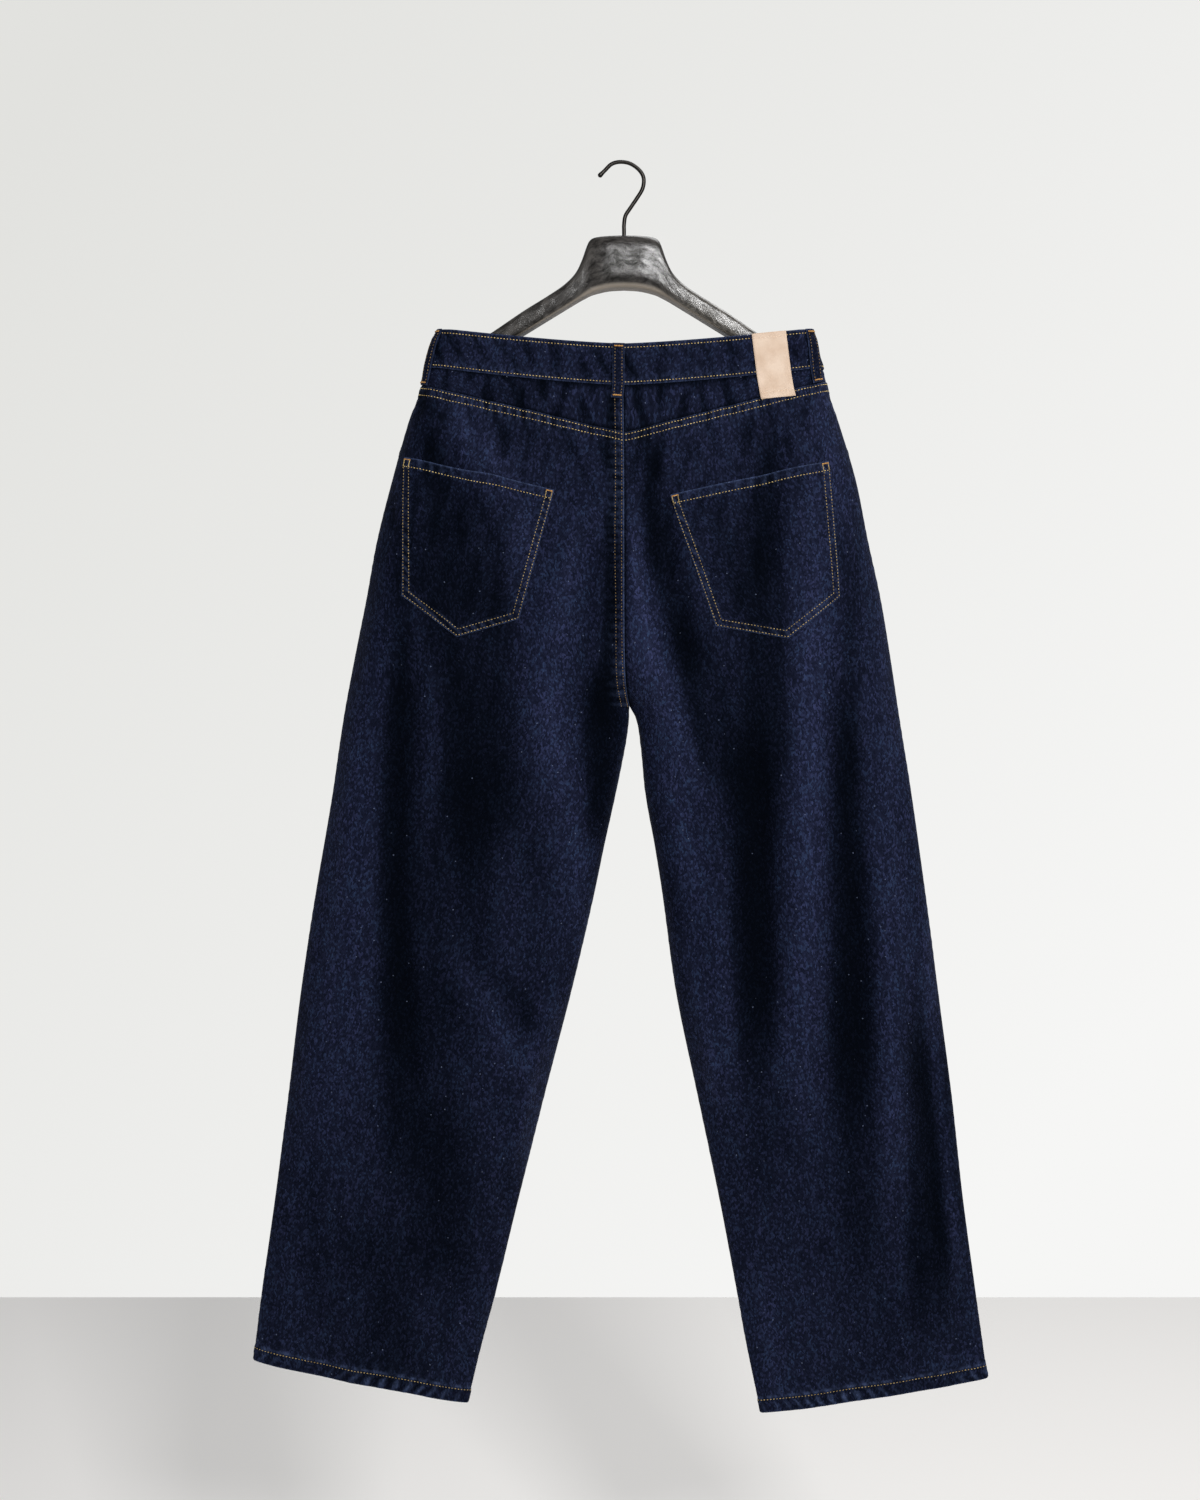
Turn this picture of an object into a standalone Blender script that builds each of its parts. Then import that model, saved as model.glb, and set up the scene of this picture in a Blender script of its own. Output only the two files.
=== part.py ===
"""Baggy jeans, hung by the waist on a contoured wooden hanger.

The cloth is built as a maker cuts it: two yokes, two back legs, two front legs, a waistband, back
pockets, pocket facings, a fly, belt loops and a patch. Each is a closed wall of its own.

Frame: +Z up, the seat (back) of the jeans faces -Y, the wearer's right is +X. The origin is the
underside of the hook's crown, where the hanger hangs. Tables and sizes are in millimetres.

Every cloth piece is read from one skin. A place on the skin has a level t, which counts the
garment's own seams downward, and a share c of the way from the side seam to the inner edge:
    t = 0  top edge of the waistband        t = 3  the rise starts to turn under
    t = 1  waist seam                       t = 4  crotch
    t = 2  yoke seam                        t = 5  hem
"""

import math
from collections import namedtuple

import bmesh
import bpy
from mathutils import Vector

MM = 0.001
SEAM_GAP = 0.3       # between two pieces that are sewn edge to edge, or laid on each other
DENIM = 1.5          # wall of one layer of heavy denim
BAND_PROUD = 0.8     # the folded waistband stands this far outside the panels
BAND_WALL = 3.0
FELL_WIDTH = 10.5    # a felled seam: three more layers, this wide
FELL_RISE = 0.7
HEM_HEIGHT = 14.0
HEM_RISE = 0.8
STEP = 0.4           # the short slope at the edge of a raised band
SHARP_FROM = 40.0    # degrees between two faces that shade as an edge

LEFT, RIGHT = -1, 1
BACK, FRONT = -1, 1

# ---------------------------------------------------------------- sizes of the garment

# Where each level of t meets the side seam and the inner edge: heights below the hook.
Level = namedtuple("Level", "name side_left side_right inner_back inner_front_drop")
LEVELS = (
    Level("band top", -167.0, -167.0, -182.5, -22.0),
    Level("waist seam", -205.0, -206.0, -224.0, -22.0),
    Level("yoke seam", -223.0, -219.0, -272.0, -18.0),
    Level("rise turn", -450.0, -450.0, -478.0, 0.0),
    Level("crotch", -515.0, -515.0, -543.0, 0.0),
)
HEM_SIDE = {LEFT: -1195.0, RIGHT: -1213.0}
HEM_INNER = {LEFT: -1238.0, RIGHT: -1248.0}
WAIST_BOW = {BACK: [1.35, 1.35, 1.0], FRONT: [2.0, 2.0, 1.4]}   # at t = 0, 1 and 2

# Half-outline seen from behind: x of both side seams at each height.
Outline = namedtuple("Outline", "z left right")
SIDE_SEAMS = (
    Outline(-167, -184.0, 190.0),
    Outline(-205, -197.0, 200.0),
    Outline(-236, -206.0, 208.0),
    Outline(-256, -214.0, 215.0),
    Outline(-316, -231.0, 233.0),
    Outline(-376, -246.0, 245.0),
    Outline(-436, -257.0, 258.0),
    Outline(-496, -269.0, 268.0),
    Outline(-556, -280.0, 277.0),
    Outline(-631, -291.0, 289.0),
    Outline(-731, -308.0, 303.0),
    Outline(-831, -323.0, 316.0),
    Outline(-931, -335.0, 329.0),
    Outline(-1031, -348.0, 340.0),
    Outline(-1131, -362.0, 353.5),
    Outline(-1213, -372.0, 365.0),
)
INSEAMS = (
    Outline(-543, 6.5, 6.5),
    Outline(-556, 6.5, 13.0),
    Outline(-581, 3.0, 17.0),
    Outline(-631, -7.0, 22.0),
    Outline(-681, -18.0, 31.0),
    Outline(-731, -28.5, 39.0),
    Outline(-831, -52.0, 53.0),
    Outline(-931, -78.0, 74.0),
    Outline(-1031, -103.0, 95.0),
    Outline(-1131, -127.5, 114.0),
    Outline(-1181, -141.0, 123.0),
    Outline(-1248, -157.0, 137.0),
)
CENTRE_SEAM = (
    Outline(-167, -1.0, -1.0),
    Outline(-272, 0.5, 0.5),
    Outline(-478, 1.0, 1.0),
    Outline(-520, 2.5, 2.5),
    Outline(-543, 6.5, 6.5),
)

# The hollow: half-depths of seat and front at each height, and how far the wall takes to round
# the side seam and the inseam.
Hollow = namedtuple("Hollow", "z back front side_round inner_round")
HOLLOW = (
    Hollow(-167, 20.5, 20.5, 20.5, 70.0),
    Hollow(-212, 22.0, 21.5, 22.5, 70.0),
    Hollow(-260, 29.0, 26.0, 33.0, 70.0),
    Hollow(-330, 38.0, 34.0, 54.0, 70.0),
    Hollow(-465, 46.0, 40.0, 74.0, 70.0),
    Hollow(-540, 43.0, 39.0, 80.0, 76.0),
    Hollow(-640, 38.0, 36.0, 80.0, 80.0),
    Hollow(-860, 34.0, 33.0, 78.0, 80.0),
    Hollow(-1130, 17.0, 17.0, 88.0, 88.0),
    Hollow(-1215, 10.0, 10.0, 90.0, 90.0),
)

# Folds: a soft ridge (height > 0) or trough (height < 0) along a line through three places.
Fold = namedtuple("Fold", "x_top z_top x_mid z_mid x_low z_low width height")
BACK_FOLDS = (
    # the wearer's left leg, from the side seam inwards
    Fold(-234, -400, -252, -640, -285, -1000, 34, 4.0),
    Fold(-216, -440, -226, -680, -206, -960, 17, -8.0),
    Fold(-206, -900, -190, -1020, -160, -1150, 32, -6.0),
    Fold(-192, -470, -186, -550, -190, -660, 13, 3.5),
    Fold(-43, -330, -74, -540, -30, -690, 24, 8.0),
    Fold(-15, -320, -20, -480, -24, -590, 15, -8.5),
    Fold(-118, -640, -112, -760, -116, -860, 24, 3.5),
    Fold(-178, -770, -132, -850, -92, -930, 17, 5.0),
    Fold(-130, -790, -106, -830, -78, -880, 12, -4.0),
    Fold(-58, -800, -82, -900, -110, -1030, 20, 4.0),
    # the wearer's right leg, from the centre seam outwards
    Fold(8, -320, 22, -470, 88, -680, 21, 8.0),
    Fold(34, -320, 46, -430, 74, -530, 17, -7.0),
    Fold(118, -520, 130, -730, 136, -925, 20, -9.5),
    Fold(94, -720, 92, -850, 96, -960, 22, 4.0),
    Fold(182, -330, 180, -600, 172, -1010, 24, 9.0),
    Fold(213, -480, 224, -690, 234, -1020, 17, -8.5),
    Fold(252, -600, 262, -860, 268, -1060, 22, 6.0),
    Fold(292, -840, 310, -960, 320, -1120, 15, -6.0),
    # the seat, above and across the pockets
    Fold(-182, -240, -158, -290, -118, -350, 20, 5.0),
    Fold(-196, -250, -184, -300, -178, -400, 20, -4.0),
    Fold(144, -240, 142, -340, 138, -450, 16, -5.0),
)
FRONT_FOLDS = (
    Fold(-238, -420, -258, -700, -290, -1040, 32, 4.0),
    Fold(-200, -470, -212, -720, -204, -1000, 18, -7.5),
    Fold(-120, -430, -140, -640, -138, -900, 26, 7.0),
    Fold(-74, -480, -86, -640, -92, -800, 17, -7.0),
    Fold(-22, -400, -36, -520, -40, -650, 18, 6.0),
    Fold(-150, -900, -160, -1020, -196, -1140, 24, -5.0),
    Fold(28, -410, 40, -530, 62, -690, 19, 6.5),
    Fold(84, -470, 96, -650, 106, -830, 18, -7.5),
    Fold(138, -420, 150, -660, 152, -960, 25, 7.5),
    Fold(196, -480, 212, -720, 226, -1010, 18, -8.0),
    Fold(246, -520, 262, -800, 276, -1080, 26, 5.0),
    Fold(150, -940, 176, -1040, 214, -1130, 20, -4.5),
)
FOLDS = {BACK: BACK_FOLDS, FRONT: FRONT_FOLDS}
FOLD_END = 0.28      # share of a fold's length over which it dies away
SIDE_CALM = 20.0     # a fold is flat this close to the side seam or inseam
UNDER_CROTCH = (4.02, 4.05, 4.09)      # close rows where the crotch opens into the leg

# ---------------------------------------------------------------- sizes of the trimmings

# Corners of the back pockets as seen from behind, (x, z).
POCKETS = {
    LEFT: ((-215, -296), (-68, -329), (-102, -456), (-163, -473.5), (-217, -433)),
    RIGHT: ((46, -334), (202, -300), (212, -434), (161, -475), (90, -463)),
}
POCKET_WALL = 1.3
POCKET_HEM = 11.0          # height of the turned-down mouth
POCKET_HEM_RISE = 0.8

SCOOP_DEPTH = 78.0         # front pocket mouth: down the side seam, and along the waist seam
SCOOP_WIDTH = 92.0
FACING_RECESS = 0.5

FLY_WIDTH = 38.0
FLY_LENGTH = 168.0
FLY_WALL = 1.2

LOOP_WIDTH = 12.0
LOOP_WALL = 1.6
LOOP_REST = 0.5            # its ends lie this close; its middle stands off for the belt
LOOP_BOW = 1.6
# Where each loop is sewn: face, side, how far its middle lies from the side seam across the
# garment, at the top edge of the band and at the waist seam, the level of its lower end, how much
# the cloth under that end is raised, and how many columns it has.
Loop = namedtuple("Loop", "name face side in_top in_low end raised across")
LOOPS = (
    Loop("loop_centre_back", BACK, LEFT, 179.3, 192.3, 1.29, FELL_RISE, 2),
    Loop("loop_side_left", BACK, LEFT, 2.0, 4.2, 1.95, 0.0, 4),
    Loop("loop_side_right", BACK, RIGHT, 5.5, 10.5, 1.95, 0.0, 4),
    Loop("loop_front_left", FRONT, LEFT, 82.0, 90.0, 1.42, 0.0, 2),
    Loop("loop_front_right", FRONT, RIGHT, 82.0, 90.0, 1.42, 0.0, 2),
)

PATCH_WIDTH = 34.0
PATCH_WALL = 1.8
PATCH_END = 2.225          # the patch reaches down to this level, past the yoke seam
PATCH_LEAN = -0.112        # its lower edge slopes less than the yoke seam
PAST_YOKE = 0.092          # a step of t counts less past the yoke seam, where it is longer
PATCH_IN_TOP = 46.0        # its middle, from the right side seam, at the top edge of the band
PATCH_IN_LOW = 51.5        # and at the waist seam

BAND_STEPS = 11            # sections in each quarter of the band
BAND_EDGE = 0.03           # share of its depth over which each edge is rounded
BAND_EDGE_DIP = 0.9        # and how far it rounds back
OVERLAP_OVER = 24.0        # the left end of the band runs this far past the centre, outside
OVERLAP_UNDER = 22.0       # the right end this far, inside
OVERLAP_RAMP = 40.0        # the left end lifts over the other in this length
BUTTON_RADIUS = 8.5
BUTTON_HEIGHT = 4.0
BUTTON_PAST_CENTRE = 9.0
BUTTON_SIDES = 16
# The button's profile in shares of its radius and height: shank, underside, rim, dished face.
Turned = namedtuple("Turned", "radius height")
BUTTON_PROFILE = (
    Turned(0.50, 0.00),
    Turned(0.50, 0.35),
    Turned(0.94, 0.40),
    Turned(1.00, 0.60),
    Turned(0.93, 0.92),
    Turned(0.80, 1.00),
    Turned(0.72, 0.86),
)

# ---------------------------------------------------------------- sizes of the hanger

HANGER_MIDDLE = 1.0        # x of the neck
# Half of the hanger seen from behind: top and underside at each distance from its middle.
Arm = namedtuple("Arm", "x top bottom half_thick")
ARM = (
    Arm(0, -73.0, -125.5, 17.0),
    Arm(16, -73.6, -126.6, 17.0),
    Arm(30, -75.4, -130.0, 17.0),
    Arm(35, -79.0, -132.0, 17.0),
    Arm(38, -86.0, -133.6, 17.0),
    Arm(42, -97.5, -135.6, 17.0),
    Arm(48, -110.0, -139.0, 17.0),
    Arm(59, -121.7, -145.6, 17.0),
    Arm(76, -133.4, -156.0, 16.8),
    Arm(99, -147.6, -170.2, 16.5),
    Arm(130, -168.6, -189.0, 16.2),
    Arm(160, -188.0, -208.0, 16.0),
    Arm(180, -200.5, -221.0, 15.5),
)
ARM_TIP_LENGTH = 12.0      # the end beyond the last row is a rounded cap
TIP_ANGLES = (30, 55, 75, 88)          # degrees round the cap at which it has a section
WIRE_RADIUS = 2.0
WIRE_END = (0.6, 1.2, 1.1)             # the wire's end is slightly swollen and rounded
WIRE_POINTS = 2                        # points of the wire for each place of the line
SHANK_CLEARANCE = 0.3
SHANK_DEPTH = 22.0
# The hook's centreline, from its tip over the crown to the neck.
HOOK_LINE = (
    (-24.5, -13.0),
    (-18.0, -6.4),
    (-11.4, -0.2),
    (-3.0, 2.0),
    (6.5, 0.6),
    (14.6, -4.5),
    (19.6, -11.0),
    (20.8, -18.0),
    (19.0, -26.0),
    (13.5, -35.0),
    (7.0, -44.6),
    (2.4, -52.0),
    (1.0, -61.0),
)

# ---------------------------------------------------------------- sizes of the cutting tools

TOOL_REACH = 90.0          # a tool runs this far from the plane of the side seams
TOOL_BEYOND = 60.0         # and this far past the edge that it leaves open
TOOL_SIDE = 20.0           # past the sides of a pocket
TOOL_ABOVE = 6.0           # above the face of a pocket
TOOL_DOWN = 200.0          # below the mouth of a pocket
CURVE_STEPS = 8            # straight parts in a quarter turn of an outline

# ---------------------------------------------------------------- reading the tables

def smooth(value):
    """0 up to 0, 1 from 1 on, and a soft S between."""
    value = min(max(value, 0.0), 1.0)
    return value * value * (3 - 2 * value)


def curve_through(keys, values, key):
    """A smooth curve through a table's rows: cubic between rows, level beyond its ends."""
    if keys[0] > keys[-1]:
        keys = [-k for k in keys]
        key = -key
    if key <= keys[0]:
        return values[0]
    if key >= keys[-1]:
        return values[-1]
    i = max(n for n in range(len(keys) - 1) if keys[n] <= key)
    span = keys[i + 1] - keys[i]
    before, after = max(i - 1, 0), min(i + 2, len(keys) - 1)
    slope_in = (values[i + 1] - values[before]) / (keys[i + 1] - keys[before])
    slope_out = (values[after] - values[i]) / (keys[after] - keys[i])
    f = (key - keys[i]) / span
    return (
        values[i] * (2 * f ** 3 - 3 * f ** 2 + 1)
        + slope_in * span * (f ** 3 - 2 * f ** 2 + f)
        + values[i + 1] * (3 * f ** 2 - 2 * f ** 3)
        + slope_out * span * (f ** 3 - f ** 2)
    )


def read(table, column, key):
    """One named column of a table at any key; the key is the table's first column."""
    return curve_through([row[0] for row in table], [getattr(row, column) for row in table], key)


def side_name(side):
    return "left" if side == LEFT else "right"


def face_name(face):
    return "back" if face == BACK else "front"


def between(levels, t):
    """Straight interpolation in a list of one value per whole t."""
    i = min(int(t), len(levels) - 2)
    return levels[i] + (levels[i + 1] - levels[i]) * (t - i)


# ---------------------------------------------------------------- the skin of the garment

def turn_under(t):
    """How far the rise has turned under: 0 on the seat, a quarter turn at the crotch."""
    return math.pi / 2 * min(max(t - 3, 0), 1)


def side_place(side, t):
    heights = [getattr(level, "side_" + side_name(side)) for level in LEVELS]
    z = between(heights + [HEM_SIDE[side]], t)
    return read(SIDE_SEAMS, side_name(side), z), z


def inner_place(side, face, t):
    drop = 0 if face == BACK else 1
    heights = [level.inner_back + drop * level.inner_front_drop for level in LEVELS]
    if 3 < t < 4:
        z = heights[3] + (heights[4] - heights[3]) * math.sin(turn_under(t))
    else:
        z = between(heights + [HEM_INNER[side]], t)
    table = CENTRE_SEAM if t <= 4 else INSEAMS
    return read(table, side_name(side), z), z


def hang_share(face, t, c):
    """How much of a level's drop from the side seam to the centre is reached at c: the waist hangs
    in a shallow bow, the lower levels run straight."""
    steep = between(WAIST_BOW[face] + [1.0, 1.0, 1.0], t)
    return 1 - (1 - c) ** steep


def relief(face, x, z):
    """How far the folds lift the cloth off the plain hollow."""
    lift = 0.0
    for fold in FOLDS[face]:
        share = (fold.z_top - z) / (fold.z_top - fold.z_low)
        if not 0 < share < 1:
            continue
        middle = (fold.z_top - fold.z_mid) / (fold.z_top - fold.z_low)
        line = curve_through((0, middle, 1), (fold.x_top, fold.x_mid, fold.x_low), share)
        ends = smooth(share / FOLD_END) * smooth((1 - share) / FOLD_END)
        lift += fold.height * ends * math.exp(-(((x - line) / fold.width) ** 2))
    return lift


def rounded(distance, reach):
    """A quarter ellipse: 0 at an edge, 1 once the wall has rounded it."""
    return math.sqrt(1 - (1 - min(max(distance / reach, 0), 1)) ** 2)


def skin(side, face, t, c):
    """A point of the outer face of the plain panels, in millimetres."""
    x_side, z_side = side_place(side, t)
    x_inner, z_inner = inner_place(side, face, t)
    x = x_side + (x_inner - x_side) * c
    z = z_side + (z_inner - z_side) * hang_share(face, t, c)
    width = math.hypot(x_inner - x_side, z_inner - z_side)
    turn = turn_under(t)
    inner_round = read(HOLLOW, "inner_round", z)
    from_inner = (1 - c) * width + inner_round * (1 - math.sin(turn))
    depth = read(HOLLOW, face_name(face), z)
    depth *= rounded(c * width, read(HOLLOW, "side_round", z)) * rounded(from_inner, inner_round)
    calm_inner = smooth((1 - c) * width / SIDE_CALM)
    calm = smooth(c * width / SIDE_CALM) * (1 + (calm_inner - 1) * math.sin(turn))
    depth += relief(face, x, z) * calm * smooth((t - 1) / 0.8)
    return Vector((x, face * depth, z))


def width_at(side, face, t):
    x_side, z_side = side_place(side, t)
    x_inner, z_inner = inner_place(side, face, t)
    return math.hypot(x_inner - x_side, z_inner - z_side)


def outward(side, face, t, c):
    """The direction square to the skin. On a seam it lies in the seam's own plane."""
    small = 1e-3
    across = skin(side, face, t, min(c + small, 1)) - skin(side, face, t, max(c - small, 0))
    down = skin(side, face, min(t + small, 5), c) - skin(side, face, max(t - small, 0), c)
    normal = across.cross(down)
    if c >= 1 and 3 < t <= 4:
        depth = read(HOLLOW, face_name(face), inner_place(side, face, t)[1])
        turn = turn_under(t)
        rise = LEVELS[3].inner_back - LEVELS[4].inner_back
        normal = Vector((0, face * math.cos(turn) / depth, -math.sin(turn) / rise))
        if t == 4:
            normal = Vector((-side, 0, -1))
    elif c >= 1 and t <= 3:
        normal.x = 0
    elif c <= 0 or c >= 1:
        normal.y = 0
    normal.normalize()
    toward = Vector((side * (1 - 2 * c), face, 0))
    if c <= 0:
        toward = Vector((side, 0, 0))
    elif c >= 1:
        toward = Vector((-side, 0, 0)) if t >= 4 else Vector((0, face, -1e-3))
    return normal if normal.dot(toward) > 0 else -normal


def apart(point, side, face, t, c):
    """Half a seam gap: panels keep clear of the centre seam and of the plane of the side seams."""
    moved = point.copy()
    moved.y += face * SEAM_GAP / 2
    centre = SEAM_GAP / 2 if t <= 4 else 0
    moved.x += side * centre * smooth(2 * c - 1)
    return moved


# ---------------------------------------------------------------- making solids

def add_object(name, mesh_maker, material, flat=False):
    """A named object whose mesh is filled by mesh_maker(bm), its faces turned outward."""
    mesh = bpy.data.meshes.new(name)
    bm = bmesh.new()
    mesh_maker(bm)
    bmesh.ops.recalc_face_normals(bm, faces=bm.faces)
    bm.to_mesh(mesh)
    bm.free()
    if not flat:
        mesh.shade_smooth()
        mesh.set_sharp_from_angle(angle=math.radians(SHARP_FROM))
    mesh.materials.append(material)
    obj = bpy.data.objects.new(name, mesh)
    bpy.context.collection.objects.link(obj)
    return obj


def fill_wall(bm, outer, inner):
    """A closed wall between two grids of points (millimetres), joined all round their edge.

    Every cell is cut along the same diagonal, so that walls made from the same points lie
    parallel to each other.
    """
    rows, columns = len(outer), len(outer[0])
    grids = [[[bm.verts.new(p * MM) for p in row] for row in grid] for grid in (outer, inner)]
    for grid in grids:
        for i in range(rows - 1):
            for j in range(columns - 1):
                bm.faces.new((grid[i][j], grid[i + 1][j], grid[i + 1][j + 1]))
                bm.faces.new((grid[i][j], grid[i + 1][j + 1], grid[i][j + 1]))
    rim = [(0, j) for j in range(columns)]
    rim += [(i, columns - 1) for i in range(1, rows)]
    rim += [(rows - 1, j) for j in range(columns - 2, -1, -1)]
    rim += [(i, 0) for i in range(rows - 2, 0, -1)]
    for here, there in zip(rim, rim[1:] + rim[:1]):
        a, b = grids[0][here[0]][here[1]], grids[0][there[0]][there[1]]
        c, d = grids[1][there[0]][there[1]], grids[1][here[0]][here[1]]
        bm.faces.new((a, b, c))
        bm.faces.new((a, c, d))


def prism(name, outline, y_from, y_to):
    """A cutter: an outline of (x, z) places carried along Y. It is a tool, not a piece."""
    def fill(bm):
        ends = [[bm.verts.new(Vector((x, y, z)) * MM) for x, z in outline] for y in (y_from, y_to)]
        bm.faces.new(ends[0])
        bm.faces.new(ends[1][::-1])
        for i in range(len(outline)):
            j = (i + 1) % len(outline)
            bm.faces.new((ends[0][i], ends[1][i], ends[1][j], ends[0][j]))
    cutter = add_object(name, fill, MATERIALS["tool"])
    cutter.hide_render = True
    cutter.display_type = "WIRE"
    return cutter


def cut(obj, cutter, operation):
    modifier = obj.modifiers.new(cutter.name, "BOOLEAN")
    modifier.operation = operation
    modifier.object = cutter


def make_material(name, colour, roughness, metallic=0.0):
    material = bpy.data.materials.new(name)
    material.use_nodes = True
    shader = material.node_tree.nodes["Principled BSDF"]
    shader.inputs["Base Color"].default_value = (*colour, 1)
    shader.inputs["Roughness"].default_value = roughness
    shader.inputs["Metallic"].default_value = metallic
    material.diffuse_color = (*colour, 1)
    return material


# ---------------------------------------------------------------- panels

PANEL_COLUMNS = 13
INNER_COLUMNS = (FELL_WIDTH + STEP, FELL_WIDTH, 3.2, 0.0)     # distances from the inner edge
CLEAR_OF_FELL = 0.015      # the even columns end this share short of the felled seam


def panel_columns(side, face, t):
    """Shares of the way across, closer together near both edges, with the felled seam's edge."""
    width = width_at(side, face, t)
    free = 1 - (FELL_WIDTH + STEP) / width
    shares = [free * (1 - math.cos(math.pi * i / PANEL_COLUMNS)) / 2 for i in range(PANEL_COLUMNS)]
    shares = [share * (1 - CLEAR_OF_FELL * i / PANEL_COLUMNS) for i, share in enumerate(shares)]
    return shares + [1 - distance / width for distance in INNER_COLUMNS]


def even_levels(start, end, count):
    return [start + (end - start) * i / count for i in range(count + 1)]


def level_step(side, face, t, distance):
    """The step in t that runs this many millimetres down the skin."""
    here, there = skin(side, face, t, 0.5), skin(side, face, min(t + 0.01, 5), 0.5)
    if t >= 5:
        here, there = skin(side, face, 4.99, 0.5), skin(side, face, 5, 0.5)
    return distance / (there - here).length * 0.01


def panel_grid(side, face, levels, columns, lift):
    """Points of the skin moved out by lift(t, c), square to the skin."""
    grid = []
    for t in levels:
        row = []
        for c in columns(side, face, t):
            point = skin(side, face, t, c) + outward(side, face, t, c) * lift(t, c)
            row.append(apart(point, side, face, t, c))
        grid.append(row)
    return grid


def panel_wall(side, face, levels, rises, columns=panel_columns):
    """Outer and inner grids of one cloth wall; rises(t, c) lifts its outer face only."""
    outer = panel_grid(side, face, levels, columns, rises)
    inner = panel_grid(side, face, levels, columns, lambda t, c: -DENIM)
    return outer, inner


def in_fell(side, face, t, c):
    """1 on the strip along the inner edge that a felled seam covers."""
    return 1.0 if (1 - c) * width_at(side, face, t) < FELL_WIDTH + STEP / 2 else 0.0


def leg_levels(side, face, top):
    """Rows of a leg: its top, the turn of the rise, the crotch, and both edges of the hem."""
    hem = 5 - level_step(side, face, 5, HEM_HEIGHT)
    step = level_step(side, face, 5, STEP)
    rows = even_levels(top, 3, 6)
    rows += even_levels(3, 4, 4)[1:]
    rows += UNDER_CROTCH[:-1]
    rows += even_levels(UNDER_CROTCH[-1], hem - step, 11)
    return rows + [hem, 5.0]


def build_yokes():
    for side in (LEFT, RIGHT):
        top = 1 + level_step(side, BACK, 1, SEAM_GAP)
        low = 2 - level_step(side, BACK, 1.99, SEAM_GAP)
        levels = even_levels(top, low, 3)

        def rises(t, c, side=side):
            return FELL_RISE * in_fell(side, BACK, t, c) if side == LEFT else 0.0

        outer, inner = panel_wall(side, BACK, levels, rises)
        add_object(f"yoke_{side_name(side)}", lambda bm: fill_wall(bm, outer, inner),
                   MATERIALS["denim"])


def build_back_legs():
    for side in (LEFT, RIGHT):
        fell = level_step(side, BACK, 2, FELL_WIDTH)
        step = level_step(side, BACK, 2, STEP)
        levels = [2.0, 2.0 + fell] + leg_levels(side, BACK, 2.0 + fell + step)
        hem = levels[-2]

        def rises(t, c, side=side, fell=fell, hem=hem):
            if t <= 2.0 + fell + 1e-9:
                return FELL_RISE
            if t >= hem - 1e-9:
                return HEM_RISE
            felled = side == LEFT and t <= 4
            return FELL_RISE * in_fell(side, BACK, t, c) if felled else 0.0

        outer, inner = panel_wall(side, BACK, levels, rises)
        add_object(f"back_leg_{side_name(side)}", lambda bm: fill_wall(bm, outer, inner),
                   MATERIALS["denim"])


def scoop_outline(side, inset):
    """The front pocket mouth: a quarter ellipse from the side seam up to the waist seam."""
    z_waist = LEVELS[1].side_left
    outside = read(SIDE_SEAMS, side_name(side), z_waist) + side * TOOL_BEYOND
    curve = []
    for angle in even_levels(0, 90, CURVE_STEPS):
        z = z_waist - (SCOOP_DEPTH - inset) * math.cos(math.radians(angle))
        along = (SCOOP_WIDTH - inset) * math.sin(math.radians(angle))
        curve.append((read(SIDE_SEAMS, side_name(side), z) - side * along, z))
    top = z_waist + TOOL_BEYOND
    return curve + [(curve[-1][0], top), (outside, top), (outside, curve[0][1])]


def build_front_legs():
    for side in (LEFT, RIGHT):
        top = 1 + level_step(side, FRONT, 1, SEAM_GAP)
        levels = [top, 1.5] + leg_levels(side, FRONT, 2.0)
        hem = levels[-2]

        def rises(t, c, side=side, hem=hem):
            if t >= hem - 1e-9:
                return HEM_RISE
            return FELL_RISE * in_fell(side, FRONT, t, c) if side == LEFT and t <= 4 else 0.0

        outer, inner = panel_wall(side, FRONT, levels, rises)
        leg = add_object(f"front_leg_{side_name(side)}", lambda bm: fill_wall(bm, outer, inner),
                         MATERIALS["denim"])
        mouth = prism(f"tool_scoop_{side_name(side)}", scoop_outline(side, 0), 0,
                      TOOL_REACH)
        cut(leg, mouth, "DIFFERENCE")

        facing_levels = [t for t in levels if t < 2.5]
        outer = panel_grid(side, FRONT, facing_levels, panel_columns, lambda t, c: -FACING_RECESS)
        inner = panel_grid(side, FRONT, facing_levels, panel_columns, lambda t, c: -DENIM)
        facing = add_object(f"pocket_facing_{side_name(side)}",
                            lambda bm: fill_wall(bm, outer, inner), MATERIALS["denim"],
                            flat=True)
        shape = prism(f"tool_facing_{side_name(side)}", scoop_outline(side, SEAM_GAP), 0,
                      TOOL_REACH)
        cut(facing, shape, "INTERSECT")


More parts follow.
